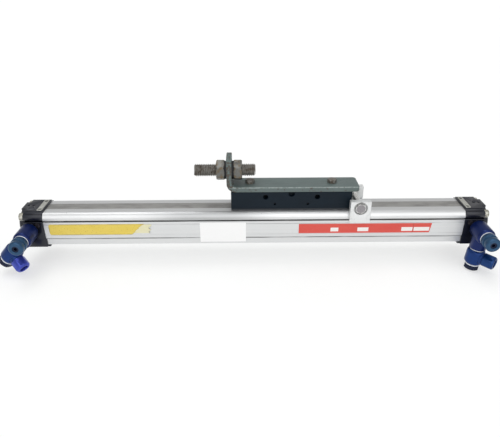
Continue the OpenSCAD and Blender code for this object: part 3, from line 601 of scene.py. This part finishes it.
black_skin = cap_black()
navy_skin = carriage_navy()
needle_skin = turned_metal("needle_black", paint(98, 92, 96), paint(62, 58, 64), 0.4)
port_blue = anodised("port_blue", paint(3, 24, 78), paint(6, 36, 100))
hose_blue = anodised("hose_blue", paint(2, 40, 98), paint(4, 54, 122))
teal_skin = anodised("teal_skin", paint(30, 62, 94), paint(50, 88, 122))
arm_navy = anodised("arm_navy", paint(10, 18, 42), paint(22, 34, 66), 0.35)
light_blue = anodised("light_blue", paint(50, 63, 160), paint(76, 90, 192))
nut_blue = anodised("nut_blue", paint(8, 44, 98), paint(16, 64, 124))
print("blues:", [m.name for m in (port_blue, hose_blue, teal_skin, light_blue, nut_blue)])

# %% [markdown]
# ## Painted bar
# The bracket is hot-rolled flat bar with a thick grey-green paint. Its bend was struck and
# scraped, so paint is missing there, and small chips run along its edges. A chip mask is noise
# above a level, and the level drops near the bend and near the bar's long edges: the mask
# follows the shape because both distances are measured from the bar's own box. Along the upper
# edges the paint is rubbed pale, on a ridge as high as the bar is thick.


# %% Bracket paint
bracket_low, bracket_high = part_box("bracket")
BAR_THICK = 5 * MM
# How far inside each long edge chips and rubbing begin, and where the bend's wear ends.
CHIPS_REACH = 1.6 * MM
RIDGE_REACH = 1.1 * MM
RIDGE_FULL = 0.4 * MM
BEND_WORN = 3 * MM
BEND_ENDS = 13 * MM


def bracket_paint():
    """The bracket: grey-green paint, chipped at the bend and edges, pale on its ridge."""
    skin = Finish("bracket_paint")
    orange_peel = skin.noise(0.0012, detail=3)
    fading = skin.noise(0.012, detail=4, stretch=(2, 1, 1), shift=0.9)
    half_width = bracket_high.y
    edge = abs(skin.y).rise(half_width - CHIPS_REACH, half_width)
    bend = 1 - (skin.x - bracket_low.x).rise(BEND_WORN, BEND_ENDS)
    chips = skin.noise(0.0022, detail=5, shift=4.4) + edge * 0.075 + bend * 0.16
    bare = chips.rise(0.68, 0.73)
    top = bracket_low.z + BAR_THICK
    beside = abs(skin.y).rise(half_width - RIDGE_REACH, half_width - RIDGE_FULL)
    level = 1 - abs(skin.z - top).rise(0.3 * MM, 1.0 * MM)
    ridge = beside * level * orange_peel.rise(0.3, 0.6)
    coat = skin.mix(fading, paint(80, 94, 93), paint(104, 117, 115))
    painted = skin.mix(ridge * 0.75, coat, paint(176, 186, 182))
    metal = skin.mix(skin.noise(0.0008, detail=4), paint(98, 92, 84), paint(58, 52, 46))
    return skin.set(
        base_color=skin.mix(bare, painted, metal),
        roughness=0.42 + orange_peel * 0.12 + bare * 0.25,
        normal=skin.bump(orange_peel * 0.3 - bare, 0.00012),
    )


green_paint = bracket_paint()
print("the painted bar is", round(2 * bracket_high.y / MM, 1), "mm wide")

# %% [markdown]
# ## Plastics and rubber
# Small parts, mostly inside, but each is a real material: the piston's acetal is waxy and pale,
# nitrile rubber is black and dull, the slide strips and wipers are dark, and the nylon washers
# at the swivels are bright white rings that outline every joint of the fittings.


# %% Plastic finishes
def moulded(name, first, second, roughness):
    """A plastic or rubber with a faint cloud in its colour and a fine skin."""
    skin = Finish(name)
    cloud = skin.noise(0.003, detail=3)
    skin_grain = skin.noise(0.0003, detail=2, shift=0.6)
    return skin.set(
        base_color=skin.mix(cloud, first, second),
        roughness=roughness + cloud * 0.1,
        normal=skin.bump(skin_grain, 0.00001),
    )


rubber = moulded("nitrile_rubber", paint(24, 24, 24), paint(38, 38, 38), 0.65)
wiper_plastic = moulded("wiper_plastic", paint(34, 34, 37), paint(46, 46, 50), 0.5)
strip_plastic = moulded("strip_plastic", paint(32, 35, 41), paint(46, 49, 55), 0.45)
piston_plastic = moulded("piston_plastic", paint(206, 194, 164), paint(188, 174, 142), 0.4)
nylon = moulded("white_nylon", paint(226, 230, 238), paint(238, 241, 246), 0.35)
print("finishes so far:", len(bpy.data.materials))

# %% [markdown]
# ## Tools for modelling by hand
# Blender's operators act on whatever is selected, so the first habit is to select one thing on
# purpose. In edit mode, edges are picked by a rule about their place or direction, which still
# holds when the object's size changes. A finished piece has its place baked into its mesh, so
# that patterns on Object coordinates do not slide, and it rides on the body it is screwed to.


# %% Selecting
def only(piece):
    """Selects one object and nothing else."""
    bpy.ops.object.select_all(action="DESELECT")
    piece.select_set(True)
    bpy.context.view_layer.objects.active = piece


def pick_edges(piece, wanted):
    """In edit mode, selects the edges for which wanted is true."""
    bpy.ops.mesh.select_mode(type="EDGE")
    bpy.ops.mesh.select_all(action="DESELECT")
    shape = bmesh.from_edit_mesh(piece.data)
    for edge in shape.edges:
        if wanted(edge):
            edge.select_set(True)
    shape.select_flush_mode()
    bmesh.update_edit_mesh(piece.data)


# %% Finishing a piece
def modify(piece, kind, **settings):
    """Adds a modifier and applies it."""
    only(piece)
    modifier = piece.modifiers.new(kind.lower(), kind)
    for name, value in settings.items():
        setattr(modifier, name, value)
    bpy.ops.object.modifier_apply(modifier=modifier.name)


def smooth(piece, angle=35):
    """Shades smooth, with a crease wherever two faces meet at more than the angle."""
    only(piece)
    bpy.ops.object.shade_smooth_by_angle(angle=math.radians(angle))


def fit_on(piece, name, body, slot, finish, *stands_for):
    """Bakes the place into the mesh, gives the finish, and puts the piece on its body."""
    only(piece)
    bpy.ops.object.transform_apply(location=True, rotation=True, scale=True)
    piece.name = name
    piece.data.materials.clear()
    piece.data.materials.append(finish)
    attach(piece, body)
    if stands_for:
        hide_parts(*stands_for)
    print(name, "has", len(piece.data.polygons), "faces")
    return piece


# %% [markdown]
# ## Softened edges
# A solid's edges are perfectly sharp, and a perfectly sharp edge never catches the light. Real
# edges are broken by a file or rounded by their casting, and their thin highlights are what make
# a machined block look real. A copy of the CAD mesh is merged, its flat faces are dissolved into
# whole ones, and a bevel of a few tenths of a millimetre runs along every edge that is steep.
# The pieces whose edges show most get it.

# %% Which pieces get softened edges
# Each node's body, slot and finish, and how wide its bevel is in mm.
SOFTENED = {
    "left_end_cap": ("barrel", "cap_black", black_skin, 0.35),
    "right_end_cap": ("barrel", "cap_black", black_skin, 0.35),
    "left_band_clamp": ("barrel", "clamp_steel", bar_steel, 0.25),
    "right_band_clamp": ("barrel", "clamp_steel", bar_steel, 0.25),
    "carriage_block": ("carriage", "carriage_anodised", navy_skin, 0.3),
    "bracket": ("carriage", "bracket_paint", green_paint, 0.6),
    "stop_front_jaw": ("stop", "stop_aluminium", jaw_metal, 0.3),
    "stop_rear_jaw": ("stop", "stop_aluminium", jaw_metal, 0.3),
    "left_stud_nut": ("carriage", "worn_steel", old_nut, 0.3),
    "right_stud_nut": ("carriage", "worn_steel", old_nut, 0.3),
    "left_cap_screws": ("barrel", "zinc_screws", zinc, 0.2),
    "right_cap_screws": ("barrel", "zinc_screws", zinc, 0.2),
    "left_hollow_bolt": ("barrel", "fitting_teal", teal_skin, 0.25),
    "right_hollow_bolt": ("barrel", "fitting_teal", teal_skin, 0.25),
    "left_port_banjo": ("left_swivel", "fitting_blue", port_blue, 0.35),
    "right_port_banjo": ("right_swivel", "fitting_blue", port_blue, 0.35),
    "left_arm_bolt": ("left_swivel", "fitting_navy", arm_navy, 0.25),
    "right_arm_bolt": ("right_swivel", "fitting_navy", arm_navy, 0.25),
    "left_hose_banjo": ("left_hose", "fitting_blue", hose_blue, 0.3),
    "right_hose_banjo": ("right_hose", "fitting_blue", hose_blue, 0.3),
    "left_union_nut": ("left_nut", "fitting_light", light_blue, 0.4),
    "right_union_nut": ("right_nut", "fitting_blue", nut_blue, 0.4),
}
FLAT = math.radians(0.5)
STEEP = math.radians(40)
SAME_CORNER = 0.002 * MM


def merged_copy(node):
    """A copy of a CAD mesh with its loose triangles joined and its flat faces made whole."""
    piece = nodes[node].copy()
    piece.data = nodes[node].data.copy()
    bpy.context.collection.objects.link(piece)
    piece.parent = None
    piece.matrix_world = Matrix.Identity(4)
    only(piece)
    bpy.ops.object.mode_set(mode="EDIT")
    bpy.ops.mesh.select_all(action="SELECT")
    bpy.ops.mesh.remove_doubles(threshold=SAME_CORNER)
    bpy.ops.mesh.dissolve_limited(angle_limit=FLAT)
    bpy.ops.object.mode_set(mode="OBJECT")
    return piece


for node, (body, slot, finish, width) in SOFTENED.items():
    piece = merged_copy(node)
    modify(
        piece,
        "BEVEL",
        width=width * MM,
        segments=2,
        limit_method="ANGLE",
        angle_limit=STEEP,
        use_clamp_overlap=False,
    )
    smooth(piece)
    fit_on(piece, node + "_softened", body, slot, finish, node)

# %% [markdown]
# ## The threaded stud
# A thread is one tooth that climbs by one pitch in each turn. So only one tooth is drawn, edge by
# edge, an Array modifier stacks it along the stud, and a Screw modifier turns the whole saw edge
# once while it advances by one pitch, where every tooth meets its neighbour and the seam can be
# merged. Cutting the ragged ends off and intersecting with a chamfered rod gives the blunt,
# slightly tapered ends of a real stud.

# %% The stud's sizes
stud_low, stud_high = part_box("stud")
stud_length = stud_high.x - stud_low.x
stud_height = (stud_low.z + stud_high.z) / 2
THREAD_PITCH = 1.75 * MM
THREAD_CREST = (stud_high.z - stud_low.z) / 2
THREAD_ROOT = THREAD_CREST - 1.05 * MM
THREAD_SEAM = 0.01 * MM
FIRST_CUT = 1.6 * THREAD_PITCH
SPARE_TEETH = 3
ROUND_SIDES = 48
STUD_CHAMFER = 1.0 * MM
BEYOND_CREST = 0.02 * MM
print("stud:", round(stud_length / MM, 1), "mm long, crest at", round(THREAD_CREST / MM, 2), "mm")

# %% One tooth
# The tooth's outline: each step's share of the pitch, and whether it climbs or falls.
TOOTH_STEPS = ((0.12, 0), (0.33, 1), (0.16, 0), (0.33, -1), (0.06, 0))


def thread_tooth():
    """One tooth of the thread, as a bent edge that starts and ends at the root."""
    bpy.ops.mesh.primitive_plane_add(size=MM, location=(0, 0, 0))
    piece = bpy.context.object
    bpy.ops.object.mode_set(mode="EDIT")
    bpy.ops.mesh.select_mode(type="VERT")
    bpy.ops.mesh.select_all(action="SELECT")
    bpy.ops.mesh.merge(type="CENTER")
    bpy.ops.transform.translate(value=(0, 0, THREAD_ROOT))
    depth = THREAD_CREST - THREAD_ROOT
    for share, climb in TOOTH_STEPS:
        step = (share * THREAD_PITCH, 0, climb * depth)
        bpy.ops.mesh.extrude_vertices_move(TRANSFORM_OT_translate={"value": step})
    bpy.ops.object.mode_set(mode="OBJECT")
    return piece


# %% Rods
def chamfered_rod(length, radius, chamfer):
    """A rod along X with chamfered ends, from 0 to length."""
    bpy.ops.mesh.primitive_cylinder_add(
        vertices=ROUND_SIDES,
        radius=radius,
        depth=length,
        location=(length / 2, 0, 0),
        rotation=(0, math.radians(90), 0),
    )
    rod = bpy.context.object
    bpy.ops.object.transform_apply(location=True, rotation=True, scale=True)
    bpy.ops.object.mode_set(mode="EDIT")
    pick_edges(rod, lambda edge: abs(edge.verts[0].co.x - edge.verts[1].co.x) < chamfer / 9)
    bpy.ops.mesh.bevel(offset=chamfer, segments=1)
    bpy.ops.object.mode_set(mode="OBJECT")
    return rod


def threaded_rod(length, chamfer):
    """A rod with a real helical thread, from 0 to length along X."""
    teeth = math.ceil(length / THREAD_PITCH) + SPARE_TEETH
    piece = thread_tooth()
    modify(
        piece,
        "ARRAY",
        count=teeth,
        use_relative_offset=False,
        use_constant_offset=True,
        constant_offset_displace=(THREAD_PITCH, 0, 0),
        use_merge_vertices=True,
        merge_threshold=THREAD_SEAM,
    )
    modify(
        piece,
        "SCREW",
        axis="X",
        angle=math.radians(360),
        screw_offset=THREAD_PITCH,
        steps=ROUND_SIDES,
        render_steps=ROUND_SIDES,
    )
    bpy.ops.object.mode_set(mode="EDIT")
    bpy.ops.mesh.select_all(action="SELECT")
    bpy.ops.mesh.remove_doubles(threshold=THREAD_SEAM)
    for cut, outward in ((FIRST_CUT, -1), (FIRST_CUT + length, 1)):
        bpy.ops.mesh.select_all(action="SELECT")
        bpy.ops.mesh.bisect(
            plane_co=(cut, 0, 0),
            plane_no=(outward, 0, 0),
            use_fill=True,
            clear_outer=True,
        )
    bpy.ops.mesh.select_all(action="SELECT")
    bpy.ops.transform.translate(value=(-FIRST_CUT, 0, 0))
    bpy.ops.mesh.normals_make_consistent(inside=False)
    bpy.ops.object.mode_set(mode="OBJECT")
    rod = chamfered_rod(length, THREAD_CREST + BEYOND_CREST, chamfer)
    modify(piece, "BOOLEAN", operation="INTERSECT", object=rod, solver="EXACT")
    bpy.data.objects.remove(rod)
    return piece


# %% The stud in its place
stud = threaded_rod(stud_length, STUD_CHAMFER)
stud.location = (stud_low.x, 0, stud_height)
smooth(stud, 30)
fit_on(stud, "threaded_stud", "carriage", "worn_steel", old_steel, "stud")

# %% [markdown]
# ## The stop's bolt
# A bolt's head is a hexagon whose front corners were turned away in a lathe. So a six-sided
# cylinder is intersected with a chamfered rod that just holds its corners, which leaves the curved
# bite that every real head has. A flange and a shank are joined on behind it.

# %% Stop bolt
bolt_low, bolt_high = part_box("stop_bolt")
HEAD_FLATS = 9.0 * MM
HEAD_HIGH = 3.8 * MM
FLANGE_RADIUS = 4.4 * MM
FLANGE_HIGH = 1.0 * MM
SHANK_RADIUS = 3 * MM
HEAD_TWIST = math.radians(12)
HEAD_CHAMFER = 0.2 * MM
FLANGE_CHAMFER = 0.15 * MM
BEYOND_HEAD = 1.5 * MM

head_corner = HEAD_FLATS / 2 / math.cos(math.radians(30))
bpy.ops.mesh.primitive_cylinder_add(
    vertices=6,
    radius=head_corner,
    depth=HEAD_HIGH,
    location=(HEAD_HIGH / 2, 0, 0),
    rotation=(0, math.radians(90), 0),
)
stop_bolt = bpy.context.object
bpy.ops.object.transform_apply(location=True, rotation=True, scale=True)
stop_bolt.rotation_euler.x = HEAD_TWIST
turned = chamfered_rod(HEAD_HIGH + BEYOND_HEAD, head_corner, HEAD_CHAMFER)
modify(stop_bolt, "BOOLEAN", operation="INTERSECT", object=turned, solver="EXACT")
bpy.data.objects.remove(turned)
for start, end, radius in (
    (HEAD_HIGH, HEAD_HIGH + FLANGE_HIGH, FLANGE_RADIUS),
    (HEAD_HIGH + FLANGE_HIGH, bolt_high.y - bolt_low.y, SHANK_RADIUS),
):
    part = chamfered_rod(end - start, radius, FLANGE_CHAMFER)
    part.location.x = start
    only(part)
    stop_bolt.select_set(True)
    bpy.context.view_layer.objects.active = stop_bolt
    bpy.ops.object.join()
bpy.ops.object.transform_apply(location=True, rotation=True, scale=True)
stop_bolt.rotation_euler.z = math.radians(90)
stop_bolt.location = ((bolt_low.x + bolt_high.x) / 2, bolt_low.y, (bolt_low.z + bolt_high.z) / 2)
smooth(stop_bolt, 25)
fit_on(stop_bolt, "turned_stop_bolt", "stop", "zinc_screws", stop_screw_steel, "stop_bolt")

# %% [markdown]
# ## The two sealing bands
# Each band is a thin steel strip that lies in its seat along the whole barrel and leaves it only
# inside the carriage: the outer one climbs over the yoke's bridge, the inner one dives under it.
# A real band bends afresh wherever the carriage goes. Here a plain strip stays on the barrel and
# the bent stretch rides on the carriage, which hides where they part, so both look right at
# every place of the carriage.

# %% The bands' sizes
outer_low, outer_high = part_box("outer_band")
inner_low, inner_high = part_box("inner_band")
barrel_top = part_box("barrel")[1].z
yoke_low, yoke_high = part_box("yoke")
carriage_middle = (yoke_low.x + yoke_high.x) / 2
BORE_HEIGHT = 19.5 * MM
BRIDGE_HALF = 26 * MM
EDGE_ROUND = 0.12 * MM
OUTER_THICK = 0.5 * MM
CLIMB_REACH = 54 * MM
INNER_THICK = 0.4 * MM
INNER_RADIUS = 12.52 * MM
INNER_HALF_WIDTH = 4.5 * MM
DIVE_REACH = 43 * MM
DIVE_WIDTH = 8 * MM
DIVE_SEAT = inner_high.z - 0.9 * MM
DIVE_DEPTH = 8.1 * MM
print("the bands bend around x =", round(carriage_middle / MM, 1), "mm")


# %% A flat strip and a bent stretch
def strip(length, width, thick, top):
    """A flat strip along X with slightly rounded edges, its upper face at top."""
    bpy.ops.mesh.primitive_cube_add(size=1, location=(0, 0, top - thick / 2))
    piece = bpy.context.object
    piece.scale = (length, width, thick)
    bpy.ops.object.transform_apply(location=True, rotation=False, scale=True)
    modify(piece, "BEVEL", width=EDGE_ROUND, segments=2, limit_method="NONE")
    smooth(piece)
    return piece


def bent_stretch(reach, width, thick, seat, height):
    """A stretch of band that eases from its seat to a height over the bridge and back."""
    bpy.ops.mesh.primitive_grid_add(x_subdivisions=64, y_subdivisions=1, size=1)
    piece = bpy.context.object
    piece.scale = (2 * reach, width, 1)
    bpy.ops.object.transform_apply(location=False, rotation=False, scale=True)
    for corner in piece.data.vertices:
        along = (reach - abs(corner.co.x)) / (reach - BRIDGE_HALF)
        share = max(0.0, min(1.0, along))
        corner.co.z = height * share * share * (3 - 2 * share)
    modify(piece, "SOLIDIFY", thickness=thick, offset=0)
    piece.location = (carriage_middle, 0, seat)
    smooth(piece)
    return piece


# %% Outer band
outer_size = outer_high - outer_low
outer = strip(outer_size.x, outer_size.y, OUTER_THICK, barrel_top)
fit_on(outer, "outer_band_strip", "barrel", "band_steel", band_metal, "outer_band")
climb = bent_stretch(
    CLIMB_REACH,
    outer_size.y,
    OUTER_THICK,
    barrel_top + OUTER_THICK,
    outer_high.z - barrel_top - OUTER_THICK,
)
fit_on(climb, "outer_band_climb", "carriage", "band_steel", band_metal)

# %% Inner band
INNER_HALF_TURN = math.asin(INNER_HALF_WIDTH / INNER_RADIUS)
bpy.ops.mesh.primitive_grid_add(x_subdivisions=1, y_subdivisions=16, size=1)
inner = bpy.context.object
for corner in inner.data.vertices:
    turn = 2 * corner.co.y * INNER_HALF_TURN
    middle = INNER_RADIUS + INNER_THICK / 2
    corner.co = (
        corner.co.x * (inner_high.x - inner_low.x),
        middle * math.sin(turn),
        BORE_HEIGHT + middle * math.cos(turn),
    )
modify(inner, "SOLIDIFY", thickness=INNER_THICK, offset=0)
smooth(inner)
fit_on(inner, "inner_band_strip", "barrel", "band_steel", band_metal, "inner_band")
dive = bent_stretch(DIVE_REACH, DIVE_WIDTH, INNER_THICK, DIVE_SEAT, -DIVE_DEPTH)
fit_on(dive, "inner_band_dive", "carriage", "band_steel", band_metal)

# %% [markdown]
# ## Labels
# Three labels are stuck to the barrel's front: a yellow strip with a torn end, a white sticker
# that reaches over the groove below, and a red plate with pale fields. They stay bare, with no
# lettering. Each starts as a flat plate whose corners are rounded, and is a tenth or two of
# a millimetre thick, so its edge throws a real hairline of shade. Where the yellow foil tore,
# its ragged edge is a mask, and the pale backing that stayed behind shows beyond it.


# %% A label plate
BARREL_FRONT = -18.0 * MM


def label_plate(x0, x1, z0, z1, corner, slant, thick):
    """An upright plate on the barrel's front; its lower right corner is drawn in by slant."""
    bpy.ops.mesh.primitive_plane_add(
        size=1,
        location=((x0 + x1) / 2, BARREL_FRONT, (z0 + z1) / 2),
        rotation=(math.radians(90), 0, 0),
    )
    piece = bpy.context.object
    piece.scale = (x1 - x0, z1 - z0, 1)
    bpy.ops.object.transform_apply(location=True, rotation=True, scale=True)
    for vert in piece.data.vertices:
        if vert.co.x > x1 - MM and vert.co.z < z0 + MM:
            vert.co.x -= slant
    bpy.ops.object.mode_set(mode="EDIT")
    bpy.ops.mesh.select_all(action="SELECT")
    bpy.ops.mesh.bevel(offset=corner, segments=6, affect="VERTICES")
    bpy.ops.mesh.select_all(action="SELECT")
    bpy.ops.mesh.extrude_region_move(TRANSFORM_OT_translate={"value": (0, -thick, 0)})
    bpy.ops.mesh.select_all(action="SELECT")
    bpy.ops.mesh.normals_make_consistent(inside=False)
    bpy.ops.object.mode_set(mode="OBJECT")
    return piece


# %% Masks for the labels
LABEL_LOW = 13.5 * MM
RAGGEDNESS = 3 * MM


def field(finish, x0, x1, z0, z1, soft=0.15 * MM):
    """1 inside a rectangle on the barrel's front, 0 outside."""
    across = (finish.x - x0).rise(-soft, soft) * (x1 - finish.x).rise(-soft, soft)
    upright = (finish.z - z0).rise(-soft, soft) * (z1 - finish.z).rise(-soft, soft)
    return across * upright


def torn(finish, x, slope):
    """How far a point lies to the left of a ragged, slanting tear, in metres."""
    rags = finish.noise(0.0022, detail=4, shift=7.7) - 0.5
    return x - finish.x + (finish.z - LABEL_LOW) * slope + rags * (2 * RAGGEDNESS)


# %% Yellow foil and its backing
FOIL_TEAR = -121 * MM
BACKING_TEAR = -104 * MM
# Where the yellow foil is clean, inside its dirty rim.
FOIL_CLEAN = (-200.8 * MM, -90 * MM, LABEL_LOW + 0.7 * MM, 24.4 * MM)


def yellow_label():
    """Yellow foil, dirty along its rim, that ends at a tear."""
    foil = Finish("yellow_label")
    cloud = foil.noise(0.006, detail=4, stretch=(2, 1, 1))
    grime_and_shade = foil.noise(0.0012, detail=4, shift=2.2).rise(0.58, 0.75)
    tear = torn(foil, FOIL_TEAR, 1.1)
    rim = 1 - tear.rise(0.0, 0.8 * MM)
    clean = foil.mix(cloud, paint(226, 198, 74), paint(238, 214, 104))
    inside = field(foil, *FOIL_CLEAN, soft=0.4 * MM)
    dirty = (grime_and_shade * 0.6).most(rim * 0.6).most((1 - inside) * cloud.rise(0.3, 0.6) * 0.55)
    return foil.set(
        base_color=foil.mix(dirty, clean, paint(134, 112, 52)),
        roughness=0.4 + grime_and_shade * 0.2,
        alpha=tear.rise(-0.05 * MM, 0.05 * MM),
        normal=foil.bump(cloud, 0.00006),
    )


def yellow_backing():
    """The pale backing that stayed where the foil tore, with a ragged end of its own."""
    paper = Finish("yellow_backing")
    cloud = paper.noise(0.0018, detail=4, shift=0.3)
    tear = torn(paper, BACKING_TEAR, 0.25)
    rim = 1 - tear.rise(0.0, 0.7 * MM)
    pale = paper.mix(cloud, paint(238, 234, 204), paint(226, 220, 176))
    return paper.set(
        base_color=paper.mix(rim * cloud.rise(0.35, 0.55), pale, paint(110, 98, 66)),
        roughness=0.7,
        alpha=tear.rise(-0.05 * MM, 0.05 * MM),
    )


# %% Red foil and white paper
FIELD_LOW = 15.4 * MM
FIELD_HIGH = 19.6 * MM
# Where each pale field of the red plate starts and ends, in mm.
RED_FIELDS = ((75.0, 82.7), (101.5, 112.3), (144.9, 155.8), (157.0, 172.4))
RED_CRACK = (156.2 * MM, 156.6 * MM)


def red_label():
    """Red foil with pale fields, a little worn, and a crack between two of the fields."""
    foil = Finish("red_label")
    cloud = foil.noise(0.008, detail=3, stretch=(3, 1, 1))
    wear = foil.noise(0.001, detail=4, shift=1.1).rise(0.62, 0.78)
    red = foil.mix(cloud, paint(216, 70, 60), paint(226, 88, 76))
    worn = foil.mix(wear * 0.35, red, paint(240, 190, 180))
    fields = 0 * foil.x
    for x0, x1 in RED_FIELDS:
        fields = fields.most(field(foil, x0 * MM, x1 * MM, FIELD_LOW, FIELD_HIGH))
    crack = field(foil, *RED_CRACK, 0, 1, soft=0.1 * MM)
    printed = foil.mix(fields, worn, paint(246, 243, 240))
    return foil.set(
        base_color=foil.mix(crack * 0.7, printed, paint(120, 70, 62)),
        roughness=0.32 + wear * 0.2,
        normal=foil.bump(cloud, 0.00004),
    )


def white_sticker():
    """Plain white paper."""
    paper = Finish("white_sticker")
    fibre = paper.noise(0.0006, detail=3)
    return paper.set(
        base_color=paper.mix(fibre, paint(250, 250, 250), paint(254, 254, 254)),
        roughness=0.55,
        normal=paper.bump(fibre, 0.00001),
    )


# %% The labels in their places
# Each label's finish, left and right, bottom and top, corner radius, slant and thickness, in mm.
LABELS = {
    "yellow_label_backing": (yellow_backing, (-128, -99), (15.0, 24.6), 0.8, 0, 0.08),
    "yellow_label": (yellow_label, (-201.5, -101.6), (13.5, 25.1), 2.2, 0, 0.15),
    "white_sticker": (white_sticker, (-53.5, -8.3), (4.7, 26.1), 0.8, 0, 0.25),
    "red_plate": (red_label, (43.6, 174.4), (13.6, 23.9), 0.4, 1.6, 0.15),
}
for name, (finish, across, upright, corner, slant, thick) in LABELS.items():
    sizes = [size * MM for size in (*across, *upright, corner, slant, thick)]
    fit_on(label_plate(*sizes), name, "barrel", None, finish())

# %% [markdown]
# ## Finishes for the rest
# Every other solid keeps its CAD mesh, which is exact, and only gets its finish. The table says
# which finish each kind of node wears, by the last words of its name.

# %% Finish of each CAD node
WEARS = {
    "barrel": aluminium,
    "cap_seal": rubber,
    "cushion_sleeve": brass,
    "clamp_screws": dark_steel,
    "port_plug": dark_steel,
    "cushion_needle": needle_skin,
    "slide_strips": strip_plastic,
    "band_wipers": wiper_plastic,
    "yoke": inner_aluminium,
    "yoke_pins": pin_steel,
    "piston_end": piston_plastic,
    "piston_seals": rubber,
    "piston_wear_rings": strip_plastic,
    "cushion_seals": rubber,
    "bracket_screws": old_steel,
    "stud_washers": dark_steel,
    "flow_screw": arm_navy,
    "port_washers": nylon,
    "arm_washers": nylon,
}
plain = []
for node, solid in nodes.items():
    kinds = [kind for kind in WEARS if node == kind or node.endswith("_" + kind)]
    if not kinds:
        plain.append(node)
        continue
    finish = WEARS[max(kinds, key=len)]
    for place in solid.material_slots:
        place.material = finish
print("nodes that a new piece stands for:", [n for n in plain if nodes[n].hide_render])
print("nodes left without a finish:", [n for n in plain if not nodes[n].hide_render])
